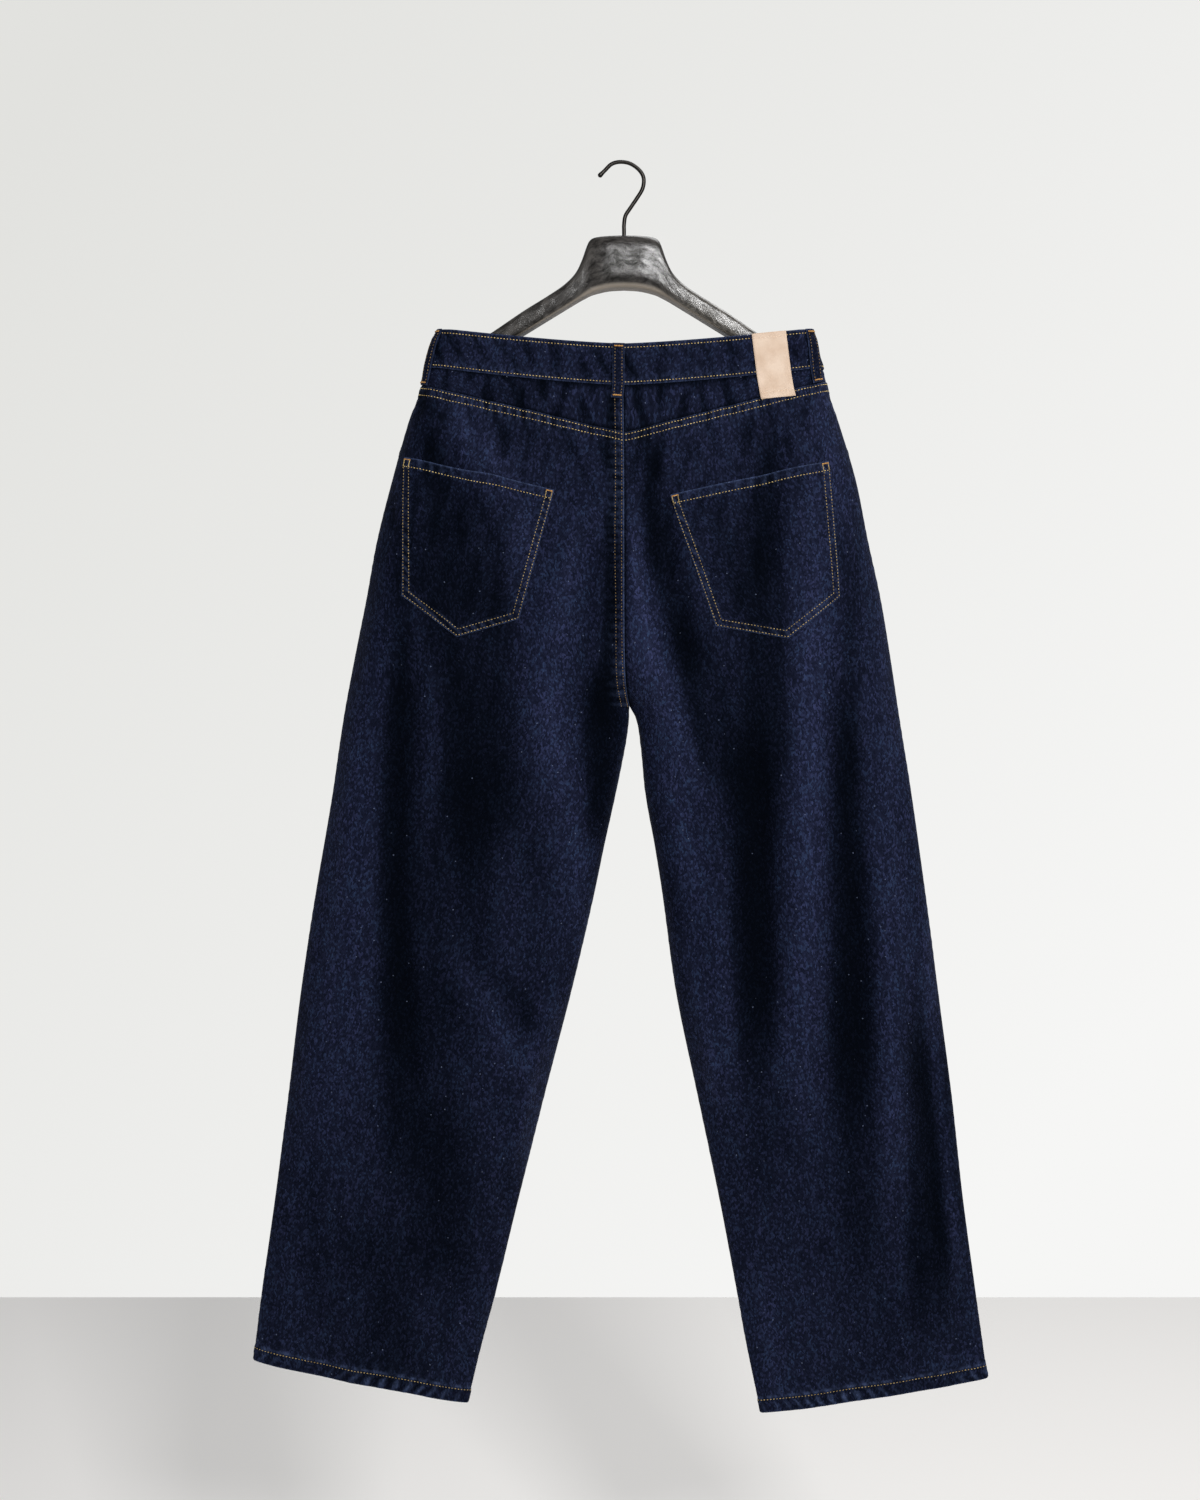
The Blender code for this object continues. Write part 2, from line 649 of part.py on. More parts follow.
def build_back_pockets():
    """Each pocket is the leg's own points moved out, cut to the pocket's outline."""
    for side in (LEFT, RIGHT):
        name = f"back_pocket_{side_name(side)}"
        fell = level_step(side, BACK, 2, FELL_WIDTH)
        step = level_step(side, BACK, 2, STEP)
        rows = leg_levels(side, BACK, 2.0 + fell + step)
        levels = [t for t in rows if t < 3.3]

        def layer(low, high):
            grids = [panel_grid(side, BACK, levels, pocket_columns, lambda t, c, h=h: h)
                     for h in (high, low)]
            return lambda bm: fill_wall(bm, grids[0], grids[1])

        full = SEAM_GAP + POCKET_WALL + POCKET_HEM_RISE
        pocket = add_object(name, layer(SEAM_GAP, full), MATERIALS["denim"], flat=True)
        corners = POCKETS[side]
        cut(pocket, prism(f"tool_{name}", corners, -TOOL_REACH, 0), "INTERSECT")

        field = layer(SEAM_GAP + POCKET_WALL, full + TOOL_ABOVE)
        relief_tool = add_object(f"tool_{name}_field", field, MATERIALS["tool"])
        first, second = Vector(corners[0]), Vector(corners[1])
        along = (second - first).normalized() * TOOL_SIDE
        below = [tuple(corner + Vector((0, -down))) for corner, down in (
            (first - along, POCKET_HEM), (second + along, POCKET_HEM),
            (second + along, TOOL_DOWN), (first - along, TOOL_DOWN))]
        cut(relief_tool, prism(f"tool_{name}_below", below, -TOOL_REACH - TOOL_ABOVE, TOOL_ABOVE),
            "INTERSECT")
        relief_tool.hide_render = True
        relief_tool.display_type = "WIRE"
        cut(pocket, relief_tool, "DIFFERENCE")


def pocket_columns(side, face, t):
    return panel_columns(side, face, t)[:-3]


def build_fly():
    """The fly lies on the wearer's left front, its bottom turned in a J."""
    top = 1 + level_step(LEFT, FRONT, 1, SEAM_GAP)
    rows = [top, 1.5] + leg_levels(LEFT, FRONT, 2.0)
    levels = [t for t in rows if t <= 3.01]
    lift = FELL_RISE + SEAM_GAP
    outer = panel_grid(LEFT, FRONT, levels, panel_columns, lambda t, c: lift + FLY_WALL)
    inner = panel_grid(LEFT, FRONT, levels, panel_columns, lambda t, c: lift)
    fly = add_object("fly", lambda bm: fill_wall(bm, outer, inner), MATERIALS["denim"], flat=True)
    z_top = inner_place(LEFT, FRONT, 1)[1]
    x_edge = inner_place(LEFT, FRONT, 1)[0] - SEAM_GAP
    z_low = z_top - FLY_LENGTH
    turn = [(x_edge - FLY_WIDTH * math.sin(math.radians(a)),
             z_low + FLY_WIDTH * (1 - math.cos(math.radians(a))))
            for a in even_levels(0, 90, CURVE_STEPS)]
    top = z_top + TOOL_BEYOND
    outline = [(x_edge, top)] + turn + [(x_edge - FLY_WIDTH, top)]
    cut(fly, prism("tool_fly", outline, 0, TOOL_REACH), "INTERSECT")


# ---------------------------------------------------------------- the waistband and its trim

def band_run(t):
    """The whole band at one level: points and outward directions from its inner end, round the
    back, to its outer end."""
    shares = [1 - math.cos(math.pi / 2 * i / BAND_STEPS) for i in range(BAND_STEPS)] + [1.0]
    width_left, width_right = width_at(LEFT, FRONT, t), width_at(RIGHT, FRONT, t)
    lift = Vector((0, BAND_WALL + SEAM_GAP, 0))

    def place(side, face, c):
        return skin(side, face, t, c), outward(side, face, t, min(c, 0.999))

    run = [place(LEFT, FRONT, 1 - OVERLAP_UNDER * part / width_left) for part in (1, 0.5)]
    run += [place(RIGHT, FRONT, c) for c in reversed(shares)]
    run += [place(RIGHT, BACK, c) for c in shares[1:]]
    run += [place(LEFT, BACK, c) for c in reversed(shares[:-1])]
    for c in shares[1:]:
        point, normal = place(LEFT, FRONT, c)
        short = (1 - c) * width_left - OVERLAP_UNDER
        run.append((point + lift * smooth(1 - (short - STEP) / OVERLAP_RAMP), normal))
    for part in (0.5, 1):
        point, normal = place(RIGHT, FRONT, 1 - OVERLAP_OVER * part / width_right)
        run.append((point + lift, normal))
    return run


def build_waistband():
    """One strip, its edges slightly rounded, open at the front where its ends overlap."""
    profile = ((1.0, -BAND_EDGE_DIP), (1 - BAND_EDGE, 0.0), (BAND_EDGE, 0.0),
               (0.0, -BAND_EDGE_DIP))
    outer, inner = [], []
    for t, dip in profile:
        run = band_run(t)
        outer.append([p + n * (BAND_PROUD + dip) for p, n in run])
        inner.append([p + n * (BAND_PROUD - BAND_WALL - dip) for p, n in run])
    add_object("waistband", lambda bm: fill_wall(bm, outer, inner), MATERIALS["denim"])


def around(side, face, t, u):
    """A place on the ring at level t: u is 0 at the side seam, 1 at the centre seam of this face,
    below 0 on the other face and above 1 past the centre."""
    if u < 0:
        face, u = -face, -u
    if u > 1:
        u = 1 - (u - 1) * width_at(side, face, t) / width_at(-side, face, t)
        side = -side
    return skin(side, face, t, u), outward(side, face, t, u)


STRIDE = 0.25              # millimetres walked along the ring at a time
SLOWEST, PACE = 2e-5, 2e-3         # the step in u that is tried first, and its share of u


def from_place(side, face, t, start, distance):
    """The u reached from start after this many millimetres of cloth along the ring."""
    u, gone = start, 0.0
    here = around(side, face, t, u)[0]
    while gone < abs(distance):
        pace = math.copysign(max(SLOWEST, abs(u) * PACE), distance)
        there = around(side, face, t, u + pace)[0]
        length = (there - here).length
        share = min(STRIDE, length, abs(distance) - gone) / length
        u += pace * share
        gone += length * share
        here = around(side, face, t, u)[0]
    return u


def strip(side, face, in_top, in_low, width, rows, wall, across, lean=0.0):
    """Outer and inner grids of a strip sewn on the band: rows are (t, stand-off). Below the band
    its middle keeps the same distance from the side seam, and lean slopes its lower edge."""
    outer, inner = [], []
    for row_t, stand in rows:
        places = []
        for i in range(across + 1):
            share = i / across - 0.5
            t = row_t * (1 + lean * share)
            t = min(t, 2) + max(t - 2, 0) * PAST_YOKE
            middle = in_top + (in_low - in_top) * min(row_t, 1)
            middle /= abs(inner_place(side, face, t)[0] - side_place(side, t)[0])
            u = from_place(side, face, t, middle, width * share)
            places.append(around(side, face, t, u))
        outer.append([p + n * (stand + wall) for p, n in places])
        inner.append([p + n * stand for p, n in places])
    return outer, inner


def build_loops():
    for loop in LOOPS:
        below = loop.end - 1
        on_top, at_rest = LOOP_REST + BAND_PROUD, LOOP_REST + loop.raised
        rows = (
            (0.0, on_top - 0.2),
            (0.12, on_top),
            (0.3, on_top + LOOP_BOW * 0.85),
            (0.6, on_top + LOOP_BOW),
            (1.0, on_top + LOOP_BOW * 0.5),
            (1 + below * 0.6, at_rest + 0.2),
            (1 + below, at_rest),
        )
        outer, inner = strip(loop.side, loop.face, loop.in_top, loop.in_low, LOOP_WIDTH, rows,
                             LOOP_WALL, loop.across)
        add_object(loop.name, lambda bm: fill_wall(bm, outer, inner), MATERIALS["denim"])


def build_patch():
    below = PATCH_END - 1
    on_top = LOOP_REST + BAND_PROUD
    rows = (
        (0.0, on_top),
        (0.5, on_top),
        (1.0, on_top),
        (1 + below * 0.5, LOOP_REST + 0.6),
        (1 + below, LOOP_REST + FELL_RISE),
    )
    outer, inner = strip(RIGHT, BACK, PATCH_IN_TOP, PATCH_IN_LOW, PATCH_WIDTH, rows, PATCH_WALL,
                         5, PATCH_LEAN)
    add_object("leather_patch", lambda bm: fill_wall(bm, outer, inner), MATERIALS["leather"])


def turned(bm, profile, centre, axis, sides):
    """A closed turned piece about an axis: profile rows are (radius, height along it)."""
    upright = Vector((0, 1, 0)).rotation_difference(axis)
    rings = []
    for radius, height in profile:
        ring = []
        for i in range(sides):
            angle = 2 * math.pi * i / sides
            offset = Vector((radius * math.cos(angle), height, radius * math.sin(angle)))
            ring.append(bm.verts.new((centre + upright @ offset) * MM))
        rings.append(ring)
    for low, high in zip(rings, rings[1:]):
        for i in range(sides):
            j = (i + 1) % sides
            bm.faces.new((low[i], low[j], high[j], high[i]))
    bm.faces.new(rings[0][::-1])
    bm.faces.new(rings[-1])


def build_button():
    shares = [1 - BUTTON_PAST_CENTRE / width_at(RIGHT, FRONT, t) for t in (0, 1)]
    top, low = skin(RIGHT, FRONT, 0, shares[0]), skin(RIGHT, FRONT, 1, shares[1])
    axis = (low - top).cross(Vector((-1, 0, 0))).normalized()
    stand = BAND_WALL + BAND_PROUD + 2 * SEAM_GAP
    centre = (top + low) / 2 + axis * stand
    profile = [(BUTTON_RADIUS * row.radius, BUTTON_HEIGHT * row.height) for row in BUTTON_PROFILE]
    add_object("waist_button", lambda bm: turned(bm, profile, centre, axis, BUTTON_SIDES),
               MATERIALS["brass"])


# ---------------------------------------------------------------- the hanger

def hanger_ring(x, top, bottom, half_thick, count=12, square=0.42):
    """One rounded-square section of the hanger, square to X."""
    middle, half = (top + bottom) / 2, (top - bottom) / 2
    ring = []
    for i in range(count):
        angle = 2 * math.pi * (i + 0.5) / count
        y = math.copysign(abs(math.cos(angle)) ** square, math.cos(angle)) * half_thick
        z = math.copysign(abs(math.sin(angle)) ** square, math.sin(angle)) * half
        ring.append(Vector((x, y, middle + z)))
    return ring


def tip_reach(side):
    """Distance from the hanger's middle to its tip, which bears on the cloth just inside."""
    last = ARM[-1]
    slope = (ARM[-1].bottom - ARM[-2].bottom) / (ARM[-1].x - ARM[-2].x)
    z = (last.top + last.bottom) / 2 + slope * ARM_TIP_LENGTH
    wall = abs(read(SIDE_SEAMS, side_name(side), z) - HANGER_MIDDLE)
    return wall - DENIM - SEAM_GAP, slope


def build_hanger_body():
    def fill(bm):
        rings = []
        for side in (LEFT, RIGHT):
            reach, slope = tip_reach(side)
            half = [hanger_ring(HANGER_MIDDLE + side * a.x, a.top, a.bottom, a.half_thick)
                    for a in ARM]
            last = ARM[-1]
            length = reach - last.x
            for angle in TIP_ANGLES:
                out = math.sin(math.radians(angle)) * length
                left = math.cos(math.radians(angle))
                middle = (last.top + last.bottom) / 2 + slope * out
                tall = (last.top - last.bottom) / 2 * left ** 0.8
                half.append(hanger_ring(HANGER_MIDDLE + side * (last.x + out), middle + tall,
                                        middle - tall, last.half_thick * left ** 0.8))
            rings = rings + half[1:] if side == RIGHT else half[::-1]
        loops = [[bm.verts.new(p * MM) for p in ring] for ring in rings]
        for a, b in zip(loops, loops[1:]):
            for i in range(len(a)):
                j = (i + 1) % len(a)
                bm.faces.new((a[i], a[j], b[j], b[i]))
        bm.faces.new(loops[0])
        bm.faces.new(loops[-1][::-1])

    body = add_object("hanger_body", fill, MATERIALS["wood"])

    def bore(bm):
        depth = SHANK_DEPTH + 1
        bmesh.ops.create_cone(bm, cap_ends=True, segments=16, depth=2 * depth * MM,
                              radius1=(WIRE_RADIUS + SHANK_CLEARANCE) * MM,
                              radius2=(WIRE_RADIUS + SHANK_CLEARANCE) * MM)
        bmesh.ops.translate(bm, verts=bm.verts, vec=Vector((HANGER_MIDDLE, 0, ARM[0].top)) * MM)

    tool = add_object("tool_shank_bore", bore, MATERIALS["tool"])
    tool.hide_render = True
    tool.display_type = "WIRE"
    cut(body, tool, "DIFFERENCE")


def build_hook():
    """Bent wire: the tip, the crown, the neck and the straight shank in the wood."""
    line = list(HOOK_LINE) + [(HANGER_MIDDLE, -68.0), (HANGER_MIDDLE, ARM[0].top - SHANK_DEPTH)]
    steps = list(range(len(line)))
    curve = bpy.data.curves.new("hanger_hook", "CURVE")
    curve.dimensions = "3D"
    curve.bevel_depth = WIRE_RADIUS * MM
    curve.bevel_resolution = 2
    curve.use_fill_caps = True
    spline = curve.splines.new("POLY")
    count = (len(line) - 1) * WIRE_POINTS + 1
    spline.points.add(count - 1)
    for i, point in enumerate(spline.points):
        place = i / WIRE_POINTS
        x = curve_through(steps, [p[0] for p in line], place)
        z = curve_through(steps, [p[1] for p in line], place)
        point.co = (x * MM, 0, z * MM, 1)
        point.radius = WIRE_END[i] if i < len(WIRE_END) else 1.0
    curve.materials.append(MATERIALS["steel"])
    hook = bpy.data.objects.new("hanger_hook", curve)
    bpy.context.collection.objects.link(hook)


# ---------------------------------------------------------------- build

for old in list(bpy.data.objects):
    bpy.data.objects.remove(old, do_unlink=True)

MATERIALS = {
    "denim": make_material("indigo_denim", (0.004, 0.006, 0.018), 0.9),
    "leather": make_material("veg_tan_leather", (0.76, 0.60, 0.48), 0.6),
    "brass": make_material("antique_brass", (0.30, 0.19, 0.09), 0.4, 1.0),
    "wood": make_material("stained_ash", (0.03, 0.028, 0.027), 0.45),
    "steel": make_material("black_steel", (0.02, 0.02, 0.02), 0.35, 1.0),
    "tool": make_material("cutting_tool", (0.8, 0.2, 0.2), 1.0),
}

build_waistband()
build_yokes()
build_back_legs()
build_front_legs()
build_back_pockets()
build_fly()
build_loops()
build_patch()
build_button()
build_hanger_body()
build_hook()
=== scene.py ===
"""The looks of the baggy jeans on their wooden hanger.

Every cloth piece is a thin shell on the form of its solid, fine enough for the creases and the
ripples along the seams to be real shape. Each stitch is its own small piece of thread.

Tables and sizes are in millimetres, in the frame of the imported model: +Z up, the seat (back) of the
jeans faces -Y, the wearer's right is +X, the origin is the underside of the hook's crown. A place
on the skin of the garment has a level t, counted downward from seam to seam, and a share c of the
way from the side seam to the inner edge:
    t = 0  top edge of the waistband        t = 3  the rise starts to turn under
    t = 1  waist seam                       t = 4  crotch
    t = 2  yoke seam                        t = 5  hem
"""

import math
from collections import namedtuple

import bpy
import numpy as np
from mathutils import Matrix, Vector


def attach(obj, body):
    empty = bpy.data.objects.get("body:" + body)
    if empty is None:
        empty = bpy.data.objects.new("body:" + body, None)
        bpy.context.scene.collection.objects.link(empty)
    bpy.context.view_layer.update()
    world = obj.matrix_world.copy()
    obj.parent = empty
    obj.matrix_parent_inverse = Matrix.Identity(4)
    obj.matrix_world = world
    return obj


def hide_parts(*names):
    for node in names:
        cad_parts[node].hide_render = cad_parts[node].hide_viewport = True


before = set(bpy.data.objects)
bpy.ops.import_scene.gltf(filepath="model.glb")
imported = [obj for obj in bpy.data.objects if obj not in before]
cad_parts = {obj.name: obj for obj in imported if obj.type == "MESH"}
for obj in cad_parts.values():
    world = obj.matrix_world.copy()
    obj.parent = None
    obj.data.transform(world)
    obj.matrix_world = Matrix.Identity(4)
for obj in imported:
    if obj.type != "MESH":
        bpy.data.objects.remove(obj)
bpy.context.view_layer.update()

MM = 0.001
SEAM_GAP = 0.3        # between pieces that are laid on each other
EDGE_GAP = 0.12       # between panels that are sewn edge to edge
DENIM = 1.5           # wall of one layer of heavy denim
BAND_PROUD = 0.8      # the folded waistband stands this far outside the panels
BAND_WALL = 3.0
FELL_WIDTH = 10.5     # a felled seam: folded edge, two rows of stitches, more layers under them
FELL_RISE = 0.7
FELL_ROWS = (2.3, 8.6)
HEM_HEIGHT = 14.0
HEM_RISE = 0.8
HEM_ROW = 12.9

LEFT, RIGHT = -1, 1
BACK, FRONT = -1, 1
PANELS = [(side, face) for side in (LEFT, RIGHT) for face in (BACK, FRONT)]

# ---------------------------------------------------------------- the form, as in the solids

def table(row, text):
    """A table from lines of numbers: one named column for each number of a line."""
    return tuple(row(*map(float, line.split())) for line in text.strip().splitlines())


Level = namedtuple("Level", "name side_left side_right inner_back inner_front_drop")
LEVELS = (
    Level("band top", -167.0, -167.0, -182.5, -22.0),
    Level("waist seam", -205.0, -206.0, -224.0, -22.0),
    Level("yoke seam", -223.0, -219.0, -272.0, -18.0),
    Level("rise turn", -450.0, -450.0, -478.0, 0.0),
    Level("crotch", -515.0, -515.0, -543.0, 0.0),
)
HEM_SIDE = {LEFT: -1195.0, RIGHT: -1213.0}
HEM_INNER = {LEFT: -1238.0, RIGHT: -1248.0}
WAIST_BOW = {BACK: [1.35, 1.35, 1.0], FRONT: [2.0, 2.0, 1.4]}   # at t = 0, 1 and 2

Outline = namedtuple("Outline", "z left right")
SIDE_SEAMS = table(Outline, """
    -167 -184 190
    -205 -197 200
    -236 -206 208
    -256 -214 215
    -316 -231 233
    -376 -246 245
    -436 -257 258
    -496 -269 268
    -556 -280 277
    -631 -291 289
    -731 -308 303
    -831 -323 316
    -931 -335 329
    -1031 -348 340
    -1131 -362 353.5
    -1213 -372 365
""")
INSEAMS = table(Outline, """
    -543 6.5 6.5
    -556 6.5 13
    -581 3 17
    -631 -7 22
    -681 -18 31
    -731 -28.5 39
    -831 -52 53
    -931 -78 74
    -1031 -103 95
    -1131 -127.5 114
    -1181 -141 123
    -1248 -157 137
""")
CENTRE_SEAM = table(Outline, """
    -167 -1 -1
    -272 0.5 0.5
    -478 1 1
    -520 2.5 2.5
    -543 6.5 6.5
""")
Hollow = namedtuple("Hollow", "z back front side_round inner_round")
HOLLOW = table(Hollow, """
    -167 20.5 20.5 20.5 70
    -212 22 21.5 22.5 70
    -260 29 26 33 70
    -330 38 34 54 70
    -465 46 40 74 70
    -540 43 39 80 76
    -640 38 36 80 80
    -860 34 33 78 80
    -1130 17 17 88 88
    -1215 10 10 90 90
""")

# Folds of the solids: a soft ridge (height > 0) or trough (height < 0) through three places.
Fold = namedtuple("Fold", "x_top z_top x_mid z_mid x_low z_low width height")
BACK_FOLDS = table(Fold, """
    -234 -400 -252 -640 -285 -1000 34 4
    -216 -440 -226 -680 -206 -960 17 -8
    -206 -900 -190 -1020 -160 -1150 32 -6
    -192 -470 -186 -550 -190 -660 13 3.5
    -43 -330 -74 -540 -30 -690 24 8
    -15 -320 -20 -480 -24 -590 15 -8.5
    -118 -640 -112 -760 -116 -860 24 3.5
    -178 -770 -132 -850 -92 -930 17 5
    -130 -790 -106 -830 -78 -880 12 -4
    -58 -800 -82 -900 -110 -1030 20 4
    8 -320 22 -470 88 -680 21 8
    34 -320 46 -430 74 -530 17 -7
    118 -520 130 -730 136 -925 20 -9.5
    94 -720 92 -850 96 -960 22 4
    182 -330 180 -600 172 -1010 24 9
    213 -480 224 -690 234 -1020 17 -8.5
    252 -600 262 -860 268 -1060 22 6
    292 -840 310 -960 320 -1120 15 -6
    -182 -240 -158 -290 -118 -350 20 5
    -196 -250 -184 -300 -178 -400 20 -4
    144 -240 142 -340 138 -450 16 -5
""")
FRONT_FOLDS = table(Fold, """
    -238 -420 -258 -700 -290 -1040 32 4
    -200 -470 -212 -720 -204 -1000 18 -7.5
    -120 -430 -140 -640 -138 -900 26 7
    -74 -480 -86 -640 -92 -800 17 -7
    -22 -400 -36 -520 -40 -650 18 6
    -150 -900 -160 -1020 -196 -1140 24 -5
    28 -410 40 -530 62 -690 19 6.5
    84 -470 96 -650 106 -830 18 -7.5
    138 -420 150 -660 152 -960 25 7.5
    196 -480 212 -720 226 -1010 18 -8
    246 -520 262 -800 276 -1080 26 5
    150 -940 176 -1040 214 -1130 20 -4.5
""")

# Creases that are too slight for the solids, given in the same way.
BACK_CREASES = table(Fold, """
    -205 -232 -192 -246 -180 -262 7 -1.6
    -150 -232 -141 -256 -128 -300 9 1.4
    -90 -240 -70 -262 -60 -300 10 -1.4
    40 -232 58 -252 66 -290 9 1.5
    92 -230 112 -252 118 -290 9 -1.5
    -21 -536 -12 -548 0 -556 4 1.8
    -30 -530 -17 -545 -8 -566 6 -1.8
    -215 -1120 -196 -1160 -186 -1205 8 1.6
    -160 -1110 -176 -1150 -182 -1200 9 -1.4
    -250 -1080 -262 -1130 -275 -1190 12 1.6
    196 -1090 204 -1150 210 -1215 12 1.6
    254 -1100 262 -1160 268 -1218 10 -1.4
    150 -900 158 -960 176 -1010 12 -3
""")
FRONT_CREASES = table(Fold, """
    -40 -330 -78 -372 -120 -398 9 -2
    -36 -362 -70 -410 -104 -446 10 1.8
    34 -336 72 -376 116 -404 9 -2
    30 -372 66 -418 98 -452 10 1.8
    -214 -1110 -196 -1160 -186 -1205 9 1.5
    206 -1100 204 -1150 214 -1215 11 1.6
""")
FOLDS = {BACK: BACK_FOLDS + BACK_CREASES, FRONT: FRONT_FOLDS + FRONT_CREASES}

# Painted shade (height < 0) and painted highlight (height > 0) in the colour of the cloth, beyond
# what the folds do.
BACK_SHADES = table(Fold, """
    -262 -520 -286 -760 -322 -1040 24 2
    -211 -440 -225 -760 -206 -1040 21 -4
    -146 -470 -138 -600 -156 -760 26 -2.6
    -192 -780 -174 -930 -142 -1090 26 -2.6
    -84 -680 -96 -800 -122 -920 24 2.2
    -152 -300 -150 -380 -146 -470 17 -3.6
    -104 -320 -100 -390 -112 -450 15 1.6
    -10 -260 -9 -380 -12 -500 9 -4
    12 -250 22 -290 40 -330 9 -3.5
    106 -480 126 -700 134 -950 25 -3.4
    90 -640 102 -790 112 -940 13 1.8
    212 -460 222 -680 236 -940 17 -2.4
    238 -270 258 -470 284 -700 15 5
    302 -790 316 -960 314 -1200 21 -5.5
    270 -900 276 -1010 272 -1130 14 2
    86 -320 98 -390 120 -460 17 -2.6
    176 -300 168 -370 176 -460 15 2
    150 -1080 168 -1150 176 -1240 24 1.6
    -200 -300 -174 -480 -158 -720 28 -6
    -150 -560 -135 -740 -140 -920 42 -3.8
    -14 -480 -22 -575 -34 -700 18 -9
    30 -270 28 -350 34 -440 9 -6
    138 -290 132 -450 148 -720 21 -5.5
    56 -420 84 -520 112 -660 24 -3
    206 -760 222 -940 240 -1140 19 -4
    283 -790 286 -980 294 -1210 12 -4.2
    -254 -1010 -242 -1130 -225 -1290 48 -4
    -236 -760 -232 -900 -228 -1060 12 -2.4
    -103 -840 -111 -950 -118 -1070 10 -2.2
    -197 -215 -188 -275 -190 -350 14 -4.5
    -124 -150 -110 -228 -96 -300 30 -2.6
    -14 -200 -12 -235 -10 -330 8 -4.5
    -123 -330 -122 -410 -122 -500 12 -3.4
    226 -350 224 -480 226 -640 10 -2.4
    -180 -222 -143 -278 -108 -328 9 6.5
    -112 -295 -101 -345 -96 -410 14 2.6
    -30 -295 -22 -400 -33 -560 8 4.5
    4 -380 36 -560 84 -790 15 9.5
    -86 -470 -68 -600 -36 -760 14 3.5
    -256 -440 -276 -660 -302 -900 12 2.6
    186 -150 190 -400 178 -820 13 3.6
    184 -110 204 -260 226 -400 13 8
    236 -420 262 -620 294 -860 14 3.4
    296 -700 313 -920 338 -1160 8 9
    56 -750 78 -850 100 -960 8 4.5
    76 -215 92 -245 96 -295 10 2.4
    -216 -330 -219 -450 -222 -600 12 -3.5
    -134 -380 -122 -520 -110 -700 24 -3.2
    -92 -640 -90 -740 -98 -900 18 -3.4
    -192 -640 -188 -740 -170 -880 16 -2.8
    156 -400 155 -520 158 -640 9 -4
    50 -440 66 -530 88 -640 10 -5
    42 -570 47 -660 57 -780 8 -2.5
    104 -700 109 -800 122 -940 9 -2.4
    126 -840 134 -930 142 -1060 18 -2.4
    204 -600 206 -780 212 -960 8 -2.2
    246 -660 246 -850 248 -1070 9 -2.5
    240 -980 240 -1120 236 -1310 66 -1.2
    -306 -950 -308 -1060 -300 -1170 14 -1.8
    6 -340 12 -420 22 -530 7 4
    -44 -600 -42 -680 -52 -800 11 5
    112 -510 118 -600 126 -710 13 2.4
    232 -490 236 -590 241 -710 12 2.4
    134 -1090 147 -1190 162 -1300 8 4.5
    2 -216 9 -246 17 -278 3.5 3.6
    13 -236 20 -262 27 -290 6 -4
""")
FRONT_SHADES = table(Fold, """
    -204 -440 -216 -760 -200 -1040 20 -4
    -84 -420 -88 -640 -110 -840 22 -3
    92 -420 104 -660 116 -880 22 -3.4
    204 -440 216 -700 230 -1020 20 -3.4
    -268 -520 -290 -760 -322 -1040 24 2
    262 -480 282 -700 312 -1000 22 2.5
""")
SHADES = {BACK: BACK_SHADES, FRONT: FRONT_SHADES}
FOLD_END = 0.28
SIDE_CALM = 20.0

# ---------------------------------------------------------------- sizes of the trimmings

POCKETS = {
    LEFT: ((-215, -296), (-68, -329), (-102, -456), (-163, -473.5), (-217, -433)),
    RIGHT: ((46, -334), (202, -300), (212, -434), (161, -475), (90, -463)),
}
POCKET_WALL = 1.3
POCKET_HEM = 11.0
POCKET_HEM_RISE = 0.8
POCKET_ROWS = (1.5, 7.1)
POCKET_MOUTH_ROW = 9.0

SCOOP_DEPTH = 78.0
SCOOP_WIDTH = 92.0
MOUTH_ROWS = (2.0, 8.0)
FACING_RECESS = 0.5

FLY_WIDTH = 38.0
FLY_LENGTH = 168.0
FLY_WALL = 1.2
FLY_ROWS = (1.8, 7.6)

LOOP_WIDTH = 12.0
LOOP_WALL = 1.6
LOOP_REST = 0.5
LOOP_BOW = 1.6
LOOP_ROW = 2.5        # each row of stitches lies this far in from the loop's edge
LOOP_NAP = 0.5        # folded strips are pressed flatter than the panels
Loop = namedtuple("Loop", "name face side in_top in_low end raised")
LOOPS = (
    Loop("loop_centre_back", BACK, LEFT, 179.3, 192.3, 1.29, FELL_RISE),
    Loop("loop_side_left", BACK, LEFT, 2.0, 4.2, 1.95, 0.0),
    Loop("loop_side_right", BACK, RIGHT, 5.5, 10.5, 1.95, 0.0),
    Loop("loop_front_left", FRONT, LEFT, 82.0, 90.0, 1.42, 0.0),
    Loop("loop_front_right", FRONT, RIGHT, 82.0, 90.0, 1.42, 0.0),
)

PATCH_WIDTH = 34.0
PATCH_WALL = 1.8
PATCH_END = 2.225
PATCH_LEAN = -0.112
PAST_YOKE = 0.092
PATCH_IN_TOP = 46.0
PATCH_IN_LOW = 51.5

OVERLAP_OVER = 24.0
OVERLAP_UNDER = 22.0
OVERLAP_RAMP = 40.0
BUTTON_RADIUS = 8.5
BUTTON_HEIGHT = 4.0
BUTTON_PAST_CENTRE = 9.0

